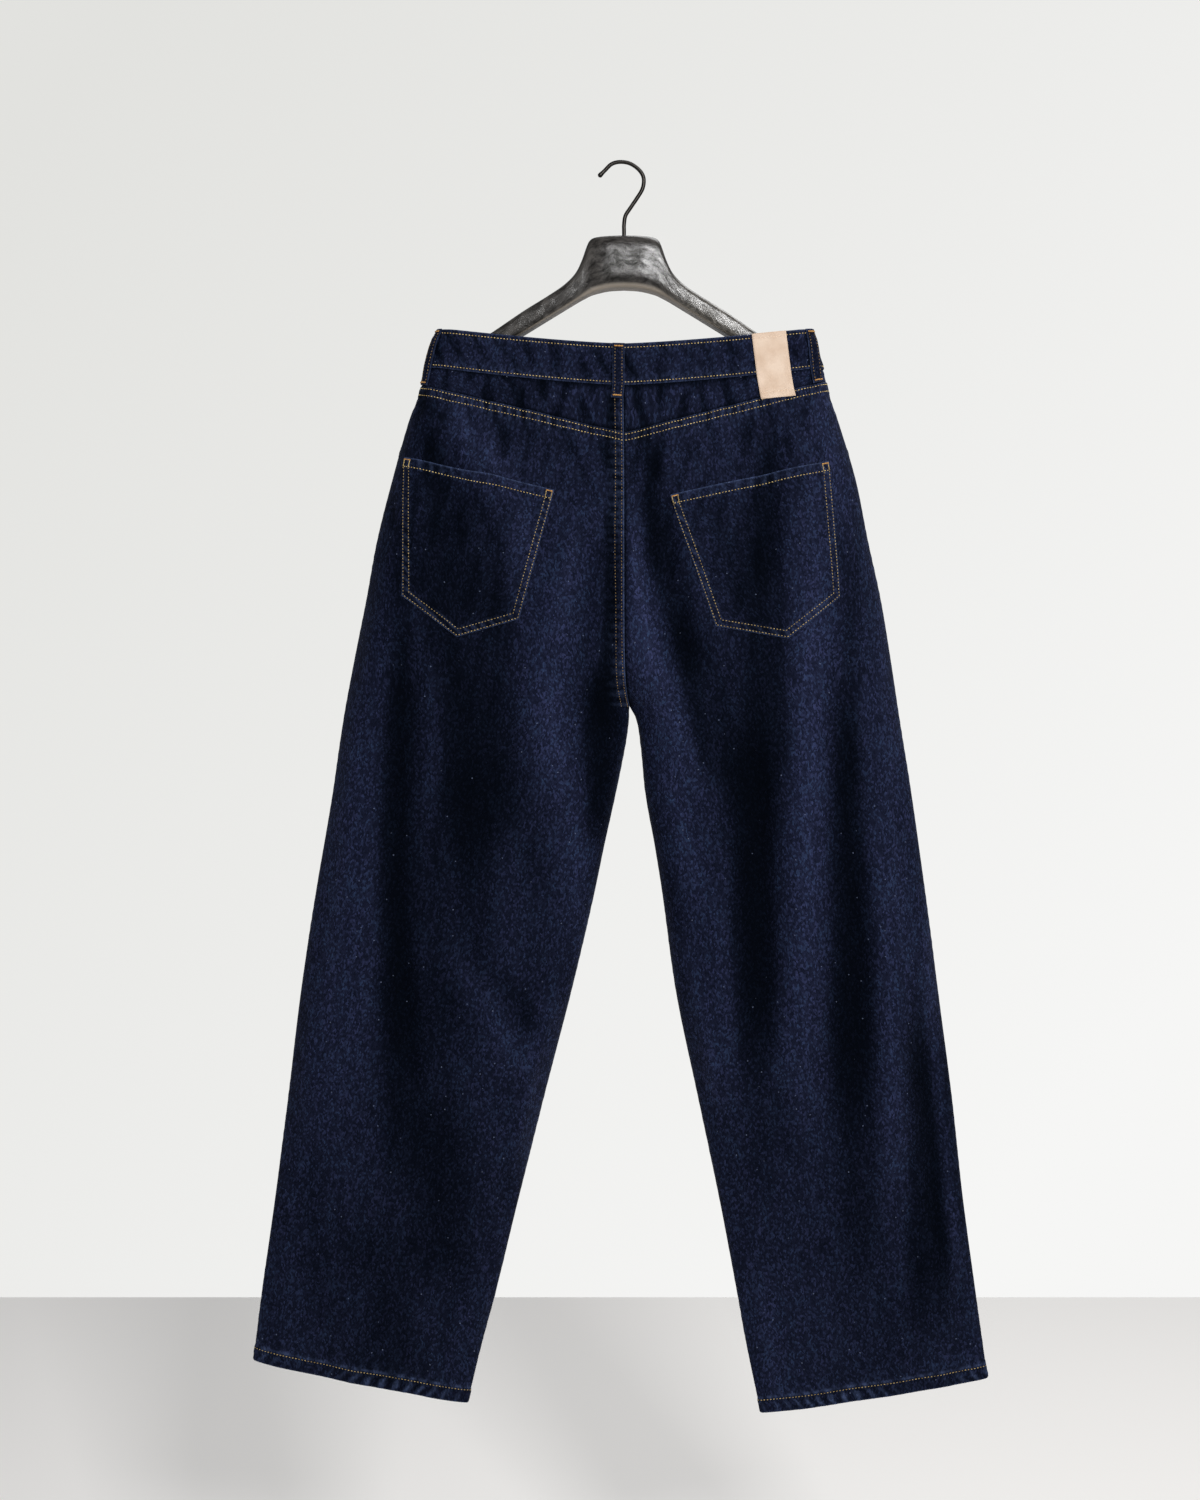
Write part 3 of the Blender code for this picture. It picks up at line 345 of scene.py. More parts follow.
HANGER_MIDDLE = 1.0
Arm = namedtuple("Arm", "x top bottom half_thick")
ARM = table(Arm, """
    0 -73 -125.5 17
    16 -73.6 -126.6 17
    30 -75.4 -130 17
    35 -79 -132 17
    38 -86 -133.6 17
    42 -97.5 -135.6 17
    48 -110 -139 17
    59 -121.7 -145.6 17
    76 -133.4 -156 16.8
    99 -147.6 -170.2 16.5
    130 -168.6 -189 16.2
    160 -188 -208 16
    180 -200.5 -221 15.5
""")
ARM_TIP_LENGTH = 12.0
SHOULDER_EASE = 1.6   # the planed face falls away this much at the shoulders,
SHOULDER_FROM = 17.0  # from this far out
SHOULDER_RUN = 24.0   # and over this length
WIRE_RADIUS = 2.0
WIRE_RINGS, WIRE_SIDES = 170, 20
SHANK_DEPTH = 22.0
HOOK_LINE = (
    (-24.5, -13.0),
    (-18.0, -6.4),
    (-11.4, -0.2),
    (-3.0, 2.0),
    (6.5, 0.6),
    (14.6, -4.5),
    (19.6, -11.0),
    (20.8, -18.0),
    (19.0, -26.0),
    (13.5, -35.0),
    (7.0, -44.6),
    (2.4, -52.0),
    (1.0, -61.0),
)

# Puckers of a seam, from one ridge to the next.
SIDE_PUCKERS = 11.0
FELL_PUCKERS = 9.5
HEM_PUCKERS = 12.5
POCKET_PUCKERS = 10.5
MOUTH_PUCKERS = 12.0
FLY_PUCKERS = 11.0
LOOP_PUCKERS = 9.0
BAND_LOW_PUCKERS = 8.6
BAND_TOP_PUCKERS = 10.2

STITCH_PITCH = 3.15   # eight stitches an inch, as on heavy jeans
STITCH_LENGTH = 1.6
THREAD_RADIUS = 0.4
THREAD_ABOVE = 0.08   # a row's middle lies this far above the cloth


# ---------------------------------------------------------------- reading the tables

def smooth(value):
    """0 up to 0, 1 from 1 on, and a soft S between."""
    value = np.clip(value, 0.0, 1.0)
    return value * value * (3 - 2 * value)


def hump(value):
    """1 at 0, dying away on both sides."""
    return np.exp(-np.square(value))


def together(*values):
    """Arrays of one shape, holding real numbers."""
    return np.broadcast_arrays(*(np.asarray(value, float) for value in values))


def length_along(points):
    """The length of a line of points up to each of them."""
    return np.pad(np.cumsum(np.linalg.norm(np.diff(points, axis=0), axis=-1)), (1, 0))


def at_length(values, gone, places):
    """What a line's points hold, read at other lengths along it."""
    return np.stack([np.interp(places, gone, values[:, k]) for k in range(3)], -1)


def curve_through(keys, values, key):
    """A smooth curve through a table's rows: cubic between rows, level beyond its ends."""
    keys, values, key = (np.asarray(v, float) for v in (keys, values, key))
    if keys[0] > keys[-1]:
        keys, key = -keys, -key
    key = np.clip(key, keys[0], keys[-1])
    slopes = np.empty_like(values)
    slopes[1:-1] = (values[2:] - values[:-2]) / (keys[2:] - keys[:-2])
    slopes[0] = (values[1] - values[0]) / (keys[1] - keys[0])
    slopes[-1] = (values[-1] - values[-2]) / (keys[-1] - keys[-2])
    i = np.clip(np.searchsorted(keys, key, side="right") - 1, 0, len(keys) - 2)
    span = keys[i + 1] - keys[i]
    f = (key - keys[i]) / span
    return (
        values[i] * (2 * f ** 3 - 3 * f ** 2 + 1)
        + slopes[i] * span * (f ** 3 - 2 * f ** 2 + f)
        + values[i + 1] * (3 * f ** 2 - 2 * f ** 3)
        + slopes[i + 1] * span * (f ** 3 - f ** 2)
    )


def read(table, column, key):
    """One named column of a table at any keys; the key is the table's first column."""
    return curve_through([row[0] for row in table], [getattr(row, column) for row in table], key)


def side_name(side):
    return "left" if side == LEFT else "right"


def face_name(face):
    return "back" if face == BACK else "front"


# ---------------------------------------------------------------- the skin of the garment

def turn_under(t):
    """How far the rise has turned under: 0 on the seat, a quarter turn at the crotch."""
    return math.pi / 2 * np.clip(t - 3, 0, 1)


def side_place(side, t):
    heights = [getattr(level, "side_" + side_name(side)) for level in LEVELS]
    z = np.interp(t, range(6), heights + [HEM_SIDE[side]])
    return read(SIDE_SEAMS, side_name(side), z), z


def inner_place(side, face, t):
    drop = 0 if face == BACK else 1
    heights = [level.inner_back + drop * level.inner_front_drop for level in LEVELS]
    z = np.interp(t, range(6), heights + [HEM_INNER[side]])
    turned = heights[3] + (heights[4] - heights[3]) * np.sin(turn_under(t))
    z = np.where((t > 3) & (t < 4), turned, z)
    rise, leg = (read(table, side_name(side), z) for table in (CENTRE_SEAM, INSEAMS))
    return np.where(t <= 4, rise, leg), z


def hang_share(face, t, c):
    """How much of a level's drop from the side seam to the centre is reached at c."""
    steep = np.interp(t, range(4), WAIST_BOW[face] + [1.0])
    return 1 - (1 - c) ** steep


def relief(face, x, z, folds=None):
    """How far the folds lift the cloth off the plain hollow."""
    lift = np.zeros_like(x)
    for fold in folds or FOLDS[face]:
        share = (fold.z_top - z) / (fold.z_top - fold.z_low)
        middle = (fold.z_top - fold.z_mid) / (fold.z_top - fold.z_low)
        line = curve_through((0, middle, 1), (fold.x_top, fold.x_mid, fold.x_low), share)
        ends = smooth(share / FOLD_END) * smooth((1 - share) / FOLD_END)
        lift += fold.height * ends * hump((x - line) / fold.width)
    return lift


def nap_and_shade_of(height):
    """Raised nap with painted highlight on the ridges and painted shade in the troughs, from a
    height: near 0 in deep troughs, 1 or a little more on the ridges.
    """
    return 1 / (1 + np.exp(-(height + 1.2) / 2.6)) + 0.05 * np.maximum(height - 4, 0)


def nap_and_shade_at(side, face, t, c):
    """The nap of a panel at a place with painted shade and highlight from its folds, creases and
    crumples, and painted shadow lines where one layer ends over another.
    """
    t, c = together(t, c)
    x, z, width = plain_place(side, face, t, c)
    # painted shade in the fold troughs and painted highlight on their ridges, with the painted
    # patches of SHADES
    height = 0.8 * relief(face, x, z) + relief(face, x, z, SHADES[face])
    height = height + PAINTED_SHADE_PER_CRUMPLE * crumpled(t) * crumple(side, face, x, z)
    # painted shadow lines: below the waistband, above the yoke's felled seam and beside the rise
    painted_shadow_under_band = hump((t - 1) * LENGTHS[side, face, 1] / 3.2)
    painted_shadow_above_fell = hump((2 - t) * LENGTHS[side, face, 1] / 2.4) * (t < 2) * (face == BACK)
    painted_shadow_beside_rise = hump((1 - c) * width / 2.2) * (side == RIGHT) * (t < 4)
    dark = 1 - 0.9 * np.maximum(np.maximum(painted_shadow_under_band, painted_shadow_above_fell), painted_shadow_beside_rise)
    in_hem = (5 - t) * LENGTHS[side, face, 4] < HEM_HEIGHT
    return nap_and_shade_of(height) * dark * np.where(in_hem & (t > 4), HEM_NAP, 1)


def rounded(distance, reach):
    """A quarter ellipse: 0 at an edge, 1 once the wall has rounded it."""
    return np.sqrt(1 - (1 - np.clip(distance / reach, 0, 1)) ** 2)


def plain_place(side, face, t, c):
    """x, z and the width of the panel at a place, without any depth."""
    x_side, z_side = side_place(side, t)
    x_inner, z_inner = inner_place(side, face, t)
    x = x_side + (x_inner - x_side) * c
    z = z_side + (z_inner - z_side) * hang_share(face, t, c)
    return x, z, np.hypot(x_inner - x_side, z_inner - z_side)


def skin(side, face, t, c):
    """Points of the outer face of the plain panels."""
    t, c = together(t, c)
    x, z, width = plain_place(side, face, t, c)
    turn = turn_under(t)
    inner_round = read(HOLLOW, "inner_round", z)
    from_inner = (1 - c) * width + inner_round * (1 - np.sin(turn))
    depth = read(HOLLOW, face_name(face), z)
    depth = depth * rounded(c * width, read(HOLLOW, "side_round", z))
    depth = depth * rounded(from_inner, inner_round)
    calm_inner = smooth((1 - c) * width / SIDE_CALM)
    calm = smooth(c * width / SIDE_CALM) * (1 + (calm_inner - 1) * np.sin(turn))
    if np.any(t > 1):
        depth = depth + relief(face, x, z) * calm * smooth((t - 1) / 0.8)
    return np.stack((x, face * depth, z), axis=-1)


def width_at(side, face, t):
    return plain_place(side, face, np.asarray(t, float), 0.0)[2]


def unit(vectors):
    return vectors / np.maximum(np.linalg.norm(vectors, axis=-1, keepdims=True), 1e-12)


def outward(side, face, t, c):
    """The directions square to the skin. On a seam they lie in the seam's own plane."""
    t, c = together(t, c)
    small = 1e-3
    across = skin(side, face, t, np.minimum(c + small, 1))
    across -= skin(side, face, t, np.maximum(c - small, 0))
    down = skin(side, face, np.minimum(t + small, 5), c)
    down -= skin(side, face, np.maximum(t - small, 0), c)
    normal = unit(np.cross(across, down))
    on_rise = (c >= 1) & (t <= 3)
    normal[on_rise, 0] = 0
    normal[((c <= 0) | (c >= 1)) & ~on_rise, 1] = 0
    turn = turn_under(t)
    depth = read(HOLLOW, face_name(face), inner_place(side, face, t)[1])
    rise = LEVELS[3].inner_back - LEVELS[4].inner_back
    under = np.stack((0 * t, face * np.cos(turn) / depth, -np.sin(turn) / rise), -1)
    turning = (c >= 1) & (t > 3) & (t < 4)
    normal[turning] = under[turning]
    normal[(c >= 1) & (t == 4)] = (-side, 0, -1)
    toward = np.stack((side * (1 - 2 * c), face + 0 * c, 0 * c), -1)
    toward[c <= 0] = (side, 0, 0)
    toward[(c >= 1) & (t < 4)] = (0, face, -1e-3)
    toward[(c >= 1) & (t >= 4)] = (-side, 0, 0)
    normal = unit(normal)
    return np.where((normal * toward).sum(-1, keepdims=True) > 0, normal, -normal)


def find_place(side, face, x, z):
    """The t and c of places given by x and z, found by halving."""
    x, z = together(x, z)
    low, high = np.zeros(x.shape), np.full(x.shape, 4.999)
    for _ in range(22):
        t = (low + high) / 2
        x_side, z_side = side_place(side, t)
        x_inner, z_inner = inner_place(side, face, t)
        c = np.clip((x - x_side) / (x_inner - x_side), 0, 1)
        above = z_side + (z_inner - z_side) * hang_share(face, t, c) > z
        low, high = np.where(above, t, low), np.where(above, high, t)
    return t, c


def apart(points, side, face, t, c):
    """Half a gap: panels keep clear of the centre seam and of the plane of the side seams."""
    moved = points.copy()
    moved[..., 1] += face * EDGE_GAP / 2
    moved[..., 0] += side * EDGE_GAP / 2 * smooth(2 * c - 1) * (t <= 4)
    return moved


# ---------------------------------------------------------------- seams, ripples and edges

def puckers(along, pitch, phase):
    """Uneven ripples along a seam, from 0 to 1: narrow ridges about one pitch apart."""
    drift = 1.3 * np.sin(along / 37 + phase) + 0.9 * np.sin(along / 17.3 + 2.1 * phase)
    wave = 0.5 + 0.5 * np.sin(2 * math.pi * along / pitch + drift)
    strength = 0.62 + 0.38 * np.sin(along / 29 + 3.7 * phase)
    return strength * wave ** 3


def make_waves(seed, count, shortest, longest):
    """Small swells of hung cloth: direction, phase and height of each, drawn once."""
    draw = np.random.default_rng(seed)
    angle = draw.uniform(-0.95, 0.95, count)
    length = draw.uniform(shortest, longest, count)
    return np.stack((np.cos(angle) / length, np.sin(angle) / length / 2.2,
                     draw.uniform(0, 2 * math.pi, count), length / longest), -1)


SLOW_WAVES = {(side, face): make_waves(5 + 2 * side + face, 26, 28, 110) for side, face in PANELS}
CRUMPLE_WAVES = {(side, face): make_waves(15 + 2 * side + face, 30, 7, 26)
                 for side, face in PANELS}
SWELL_HEIGHT = 0.34
SWELL_FROM_SIDE = 25.0     # the swells die away this close to the side seam
SWELL_FROM_INNER = 12.0    # and this close to the rise and the inseam
CRUMPLE_HEIGHT = 0.17
HEM_NAP = 0.72             # the turned-up hem was pressed flat
PAINTED_SHADE_PER_CRUMPLE = 4.0      # millimetres of fold that count for as much painted shade and highlight as one of a crumple


def wave_sum(waves, x, z):
    total = np.zeros_like(x)
    for across, along, phase, strength in waves:
        total += strength * np.sin(2 * math.pi * (x * across + z * along) + phase)
    return total


def swell(side, face, t, c):
    """The slow swells of a panel, dying away toward its seams and the waistband."""
    x, z, width = plain_place(side, face, t, c)
    calm = smooth(c * width / SWELL_FROM_SIDE) * smooth((1 - c) * width / SWELL_FROM_INNER)
    return SWELL_HEIGHT * wave_sum(SLOW_WAVES[side, face], x, z) * calm * smooth((t - 1) / 0.6)


def crumple(side, face, x, z):
    """Creases of cloth that was washed and not pressed: soft hollows between sharper ridges."""
    waves = 5 * np.tanh(wave_sum(CRUMPLE_WAVES[side, face], x, z) / 5)
    return CRUMPLE_HEIGHT * (waves + 1.2 * (1 - np.abs(waves)))


def groove(distance, rows):
    """A row of stitches pulls the cloth in."""
    return -0.28 * sum(hump((distance - row) / 0.8) for row in rows)


def edge_drop(distance):
    """The rounding of a folded edge."""
    return -0.5 * (1 - smooth(distance / 1.1))


def felled(distance, along, phase, width=FELL_WIDTH, rows=FELL_ROWS, rise=FELL_RISE,
           edge_wear=0.85):
    """Lift and wear of a felled seam, by the distance from its folded edge."""
    strip = smooth((width + 0.7 - distance) / 1.5)
    ripple = puckers(along, FELL_PUCKERS, phase)
    beside = hump((distance - width) / 6.0) * (1 - strip)
    lift = strip * (rise + 0.35 * ripple * smooth(distance / 2)) + edge_drop(distance) * strip
    lift = lift + groove(distance, rows) + 0.3 * ripple * beside
    worn = edge_wear * hump(distance / 0.9) + 0.5 * ripple * (strip + 0.5 * beside)
    return lift, worn


def hem_form(distance, along, phase):
    """Lift and wear of the turned-up hem: roping leans over along its length, and a frayed
    line of highlights runs above the stitches."""
    strip = smooth((HEM_HEIGHT + 0.6 - distance) / 1.4)
    leaning = along + 0.42 * distance + 0.8 * np.sin(distance / 2.1 + along / 13)
    ripple = puckers(leaning, HEM_PUCKERS, phase)
    sharp = ripple ** 2 / (0.25 + ripple)
    above = hump((distance - HEM_HEIGHT) / 8.0) * (1 - strip)
    body = hump((distance - 5.5) / 5.5)
    lift = strip * (HEM_RISE + 0.9 * (ripple - 0.25) * body) + edge_drop(distance)
    lift = lift + groove(distance, (HEM_ROW,)) + 0.4 * ripple * above
    frayed = hump((distance - HEM_HEIGHT - 1.2) / 1.3) * (0.35 + 0.3 * np.sin(along / 2.3 + 2 *
                                                          np.sin(along / 9)))
    worn = sharp * (1.1 * strip * body + 0.3 * above) + 0.35 * hump(distance / 0.9) + frayed
    return lift, worn


def level_length(side, face, level):
    """Millimetres of cloth in one whole step of t, at the middle of the panel."""
    t = level + np.array((0.45, 0.55))
    here, there = skin(side, face, t, np.array((0.5, 0.5)))
    return np.linalg.norm(there - here) * 10


LENGTHS = {(side, face, level): level_length(side, face, level)
           for side, face in PANELS for level in (1, 2, 3, 4)}


def mouth_curve(side, grown, angles):
    """Places (x, z) of the front pocket's mouth, or of a line this far outside it."""
    down = (SCOOP_DEPTH + grown) * np.cos(angles)
    z = LEVELS[1].side_left - down
    x_side = read(SIDE_SEAMS, side_name(side), z)
    return x_side - side * (SCOOP_WIDTH + grown) * np.sin(angles), z


def from_mouth(side, x, z):
    """Distance of places from the front pocket's mouth."""
    line_x, line_z = mouth_curve(side, 0, np.linspace(0, math.pi / 2, 60))
    return np.sqrt(np.min((x[..., None] - line_x) ** 2 + (z[..., None] - line_z) ** 2, axis=-1))


def crumpled(t):
    """How crumpled the cloth is: most on the yoke, hardly on the legs."""
    return np.interp(t, (1.0, 1.08, 1.9, 2.0, 2.3, 3.0, 5.0), (0.3, 1.2, 1.2, 0.9, 0.5, 0.2, 0.14))


def panel_form(side, face, t, c):
    """Lift off the skin, and wear, of yokes and legs: seams, hems, edges and slow swells."""
    t, c = together(t, c)
    x, z, width = plain_place(side, face, t, c)
    from_side, from_inner = c * width, (1 - c) * width
    lift, worn = swell(side, face, t, c), np.zeros_like(x)
    rough = crumpled(t) * smooth(from_side / 8) * smooth(from_inner / 5)
    lift = lift + rough * crumple(side, face, x, z)
    phase = 1.7 * side + 0.9 * face
    seam = 0.35 * (puckers(z, SIDE_PUCKERS, phase) - 0.3)
    lift += hump(from_side / 4) * seam - 0.5 * hump(from_side / 1.2)
    worn += 0.3 * hump(from_side / 5) * puckers(z, SIDE_PUCKERS, phase)
    leg = t > 4
    lift += np.where(leg, hump(from_inner / 4) * seam - 0.5 * hump(from_inner / 1.2), 0)
    worn += np.where(leg, 0.35 * hump(from_inner / 4) * puckers(z, SIDE_PUCKERS, phase), 0)
    pieces = []
    if side == LEFT:
        rise = felled(from_inner, z, phase + 1)
        fade = smooth((4.0 - t) / 0.06)
        pieces.append((rise[0] * fade, rise[1] * fade))
    else:
        lift += np.where(leg, 0, -0.4 * hump(from_inner / 2.0))
    if face == BACK:
        below = (t - 2) * LENGTHS[side, face, 2]
        yoke = felled(below, from_inner, phase + 2, edge_wear=0.25)
        pieces.append((yoke[0] * (t >= 2), yoke[1] * (t >= 2)))
        lift += np.where(t < 2, -0.4 * hump((2 - t) * LENGTHS[side, face, 1] / 2.0), 0)
    else:
        mouth = felled(from_mouth(side, x, z), x + z, phase + 3, 10.0, MOUTH_ROWS, 0.6)
        near = t < 2.6
        pieces.append((mouth[0] * near, mouth[1] * near))
    hem = hem_form((5 - t) * LENGTHS[side, face, 4], from_inner, phase + 4)
    pieces.append((hem[0] * (t > 4.9), hem[1] * (t > 4.9)))
    above = np.max([np.where(piece[0] > 0, piece[0], 0) for piece in pieces], axis=0)
    below = np.min([np.where(piece[0] < 0, piece[0], 0) for piece in pieces], axis=0)
    lift += above + below
    worn += np.max([piece[1] for piece in pieces], axis=0)
    return lift, worn


# ---------------------------------------------------------------- making meshes

def put(name, data):
    """A new object in the scene."""
    made = bpy.data.objects.new(name, data)
    bpy.context.collection.objects.link(made)
    return made


def make_mesh(name, points, faces, materials, slots=None, marks=(), sharp=45):
    """An object from points in millimetres, quads that face outward once their signed volume
    is positive, and numbers or places marked at its points."""
    mesh = bpy.data.meshes.new(name)
    a, b, c, d = (points[faces[:, k]] for k in range(4))
    if np.sum(a * (np.cross(b, c) + np.cross(c, d))) < 0:
        faces = faces[:, ::-1]
    mesh.vertices.add(len(points))
    mesh.vertices.foreach_set("co", np.asarray(points * MM, np.float32).ravel())
    mesh.loops.add(faces.size)
    mesh.loops.foreach_set("vertex_index", np.asarray(faces, np.int32).ravel())
    mesh.polygons.add(len(faces))
    starts = np.arange(len(faces), dtype=np.int32) * faces.shape[1]
    mesh.polygons.foreach_set("loop_start", starts)
    mesh.update(calc_edges=True)
    for material in materials:
        mesh.materials.append(material)
    if slots is not None:
        mesh.polygons.foreach_set("material_index", np.asarray(slots, np.int32))
    for label, values in dict(marks).items():
        kind, field = ("FLOAT_VECTOR", "vector") if values.ndim == 2 else ("FLOAT", "value")
        attribute = mesh.attributes.new(label, kind, "POINT")
        attribute.data.foreach_set(field, np.asarray(values, np.float32).ravel())
    mesh.shade_smooth()
    mesh.set_sharp_from_angle(angle=math.radians(sharp))
    return put(name, mesh)


def cloth_places(grid):
    """Where each point lies on the flat cloth: across and along it, from its middle and top."""
    steps = np.linalg.norm(np.diff(grid, axis=1), axis=-1)
    across = np.pad(np.cumsum(steps, axis=1), ((0, 0), (1, 0)))
    middle = grid.shape[1] // 2
    across -= across[:, middle:middle + 1]
    along = length_along(grid[:, middle])[:, None] + 0 * across
    return np.stack((across, along, 0 * across), -1)


def grid_quads(index):
    return np.stack((index[:-1, :-1], index[1:, :-1], index[1:, 1:], index[:-1, 1:]),
                    -1).reshape(-1, 4)


PLAIN_NAP = 0.75      # of a piece without folds of its own


def ring_quads(rows, count):
    """Faces of a tube from its rings of points, open at both ends."""
    index = np.arange(rows * count).reshape(rows, count)
    return grid_quads(np.concatenate((index, index[:, :1]), axis=1))


def tube_faces(rows, count):
    """Faces of a tube whose two ends are closed with flat quads; its rings have even counts."""
    caps = np.array([(0, k, k + 1, k + 2) for k in range(1, count - 2, 2)])
    return np.concatenate((ring_quads(rows, count), caps, caps[:, ::-1] + (rows - 1) * count))


def make_shell(name, outer, inner, materials, worn=None, inner_slots=1, nap_and_shade=None):
    """A closed thin shell between two grids of points, joined all round their edge."""
    rows, columns = outer.shape[:2]
    index = np.arange(rows * columns).reshape(rows, columns)
    count = rows * columns
    rim = np.concatenate((index[0, :-1], index[:-1, -1], index[-1, :0:-1], index[:0:-1, 0]))
    after = np.roll(rim, -1)
    edge = np.stack((rim, rim + count, after + count, after), -1)
    front, back = grid_quads(index), grid_quads(index + count)[:, ::-1]
    slots = np.concatenate((np.zeros(len(front)), np.broadcast_to(inner_slots, len(back)),
                            np.zeros(len(edge))))
    places = cloth_places(outer).reshape(-1, 3)
    worn = np.zeros(count) if worn is None else worn.ravel()
    wear = np.concatenate((worn, 0 * worn))
    nap_and_shade = np.tile(np.full(count, PLAIN_NAP) if nap_and_shade is None else nap_and_shade.ravel(), 2)
    points = np.concatenate((outer.reshape(-1, 3), inner.reshape(-1, 3)))
    return make_mesh(name, points, np.concatenate((front, back, edge)), materials, slots,
                     {"wear": wear, "nap_and_shade": nap_and_shade, "cloth": np.concatenate((places, places))}, 60)


def dress(piece, node):
    """The piece stands for its solid and rides with the garment."""
    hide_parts(node)
    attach(piece, "root")


# ---------------------------------------------------------------- thread

# Rings of one stitch: place along it as a share of its length, radius and lift in thread radii.
STITCH_RINGS = ((-0.5, 0.5, -0.45), (-0.3, 1.0, 0.25), (0.3, 1.0, 0.25), (0.5, 0.5, -0.45))
STITCH_SIDES = 6
Stitches = namedtuple("Stitches", "middles ways normals lengths radii")


def normals_of(grid, like):
    """Directions square to a grid of points, on the same side as the given ones."""
    normal = unit(np.cross(np.gradient(grid, axis=1), np.gradient(grid, axis=0)))
    return np.where((normal * like).sum(-1, keepdims=True) > 0, normal, -normal)


def stitch_row(points, normals, pitch=STITCH_PITCH, length=STITCH_LENGTH, radius=THREAD_RADIUS):
    """Stitches one after another along a line of points."""
    gone = length_along(points)
    count = max(int(gone[-1] / pitch), 1)
    pitch = gone[-1] / count
    middle = (np.arange(count) + 0.5) * pitch
    ends = [at_length(points, gone, middle + length / 2 * way) for way in (-1, 1)]
    ones = np.ones(count)
    return Stitches(at_length(points, gone, middle), unit(ends[1] - ends[0]),
                    unit(at_length(normals, gone, middle)),
                    ones * length * min(1, pitch / STITCH_PITCH), ones * radius)


def bar_tack(start, end, normal, height, step=0.62, radius=THREAD_RADIUS):
    """Close-set stitches side by side from start to end, each lying across the bar."""
    start, end, normal = (np.asarray(v, float) for v in (start, end, normal))
    count = max(int(np.linalg.norm(end - start) / step), 2)
    share = (np.arange(count) + 0.5) / count
    along = unit(end - start)
    across = unit(np.cross(normal, along))
    lean = np.where(np.arange(count) % 2 == 0, 0.22, -0.22)[:, None]
    ones = np.ones(count)
    middles = start + (end - start) * share[:, None] + normal * 0.25
    return Stitches(middles, unit(across + along * lean), np.broadcast_to(normal, (count, 3)),
                    ones * height, ones * radius)


def make_thread(name, rows, material, seed):
    """All the stitches of one seam or piece as one mesh; each stitch has its own tone."""
    middles, ways, normals, lengths, radii = (np.concatenate(part) for part in zip(*rows))
    sides = np.cross(normals, ways)
    angles = 2 * math.pi * np.arange(STITCH_SIDES) / STITCH_SIDES
    template = np.array([(along, size * math.cos(angle), size * math.sin(angle) + lift)
                         for along, size, lift in STITCH_RINGS for angle in angles])
    points = middles[:, None]
    for k, (way, reach) in enumerate(((ways, lengths), (sides, radii), (normals, radii))):
        points = points + way[:, None] * (template[:, k] * reach[:, None])[..., None]
    offsets = np.arange(len(middles))[:, None, None] * len(template)
    faces = (tube_faces(len(STITCH_RINGS), STITCH_SIDES) + offsets).reshape(-1, 4)
    tone = np.random.default_rng(seed).uniform(0, 1, len(middles))
    piece = make_mesh(name, points.reshape(-1, 3), faces, [material],
                      marks={"tone": np.repeat(tone, len(template))}, sharp=80)
    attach(piece, "root")
    return piece


# ---------------------------------------------------------------- panels

# How many columns a panel has, and how far apart the rows of a leg are on the seat and below.
YOKE_COLUMNS = 108
BACK_COLUMNS, BACK_STEPS = 122, (3.4, 5.6)
FRONT_COLUMNS, FRONT_STEPS = 118, (4.2, 6.4)
# Fine strips at the edges: distances from the inner edge, the yoke seam and the hem.
INNER_STRIP = np.array((13.0, 11.6, 10.9, 10.2, 9.4, 8.6, 7.6, 6.4, 5.2, 4.0, 3.0, 2.3, 1.6, 1.0,
                        0.5, 0.0))
TOP_STRIP = np.array((0.0, 0.5, 1.0, 1.6, 2.3, 3.0, 4.0, 5.2, 6.4, 7.6, 8.6, 9.4, 10.2, 10.9, 11.6,
                      13.0, 15.0, 17.5))
HEM_STRIP = np.array((24.0, 21.6, 19.4, 17.6, 16.2, 15.2, 14.4, 13.7, 13.1, 12.5, 11.7, 10.6, 9.2,
                      7.6, 6.0, 4.4, 2.9, 1.7, 0.8, 0.3, 0.0))


def shares_across(width, count):
    """Shares c for one row or many: closer near the side seam, and a fine strip at the inner
    edge."""
    width = np.atleast_1d(width)[:, None]
    free = 1 - INNER_STRIP[0] / width
    even = (1 - np.cos(math.pi * np.arange(count) / count)) / 2
    shares = free * (even * (1 - 0.25) + 0.25 * np.linspace(0, 1, count, endpoint=False) ** 1.5)
    return np.concatenate((shares, 1 - INNER_STRIP / width), axis=1)


def leg_rows(side, face, top, rise_step, leg_step):
    """Levels from top to the hem, with even steps of cloth and a fine strip at the hem."""
    rise = np.arange(top, 3, rise_step / LENGTHS[side, face, 2])
    turn = np.linspace(3, 4, int(LENGTHS[side, face, 3] / rise_step))
    hem = 5 - HEM_STRIP / LENGTHS[side, face, 4]
    start = 4 + 0.6 * leg_step / LENGTHS[side, face, 4]
    count = int((hem[0] - start) * LENGTHS[side, face, 4] / leg_step)
    return np.concatenate((rise, turn, np.linspace(start, hem[0], count)[:-1], hem))


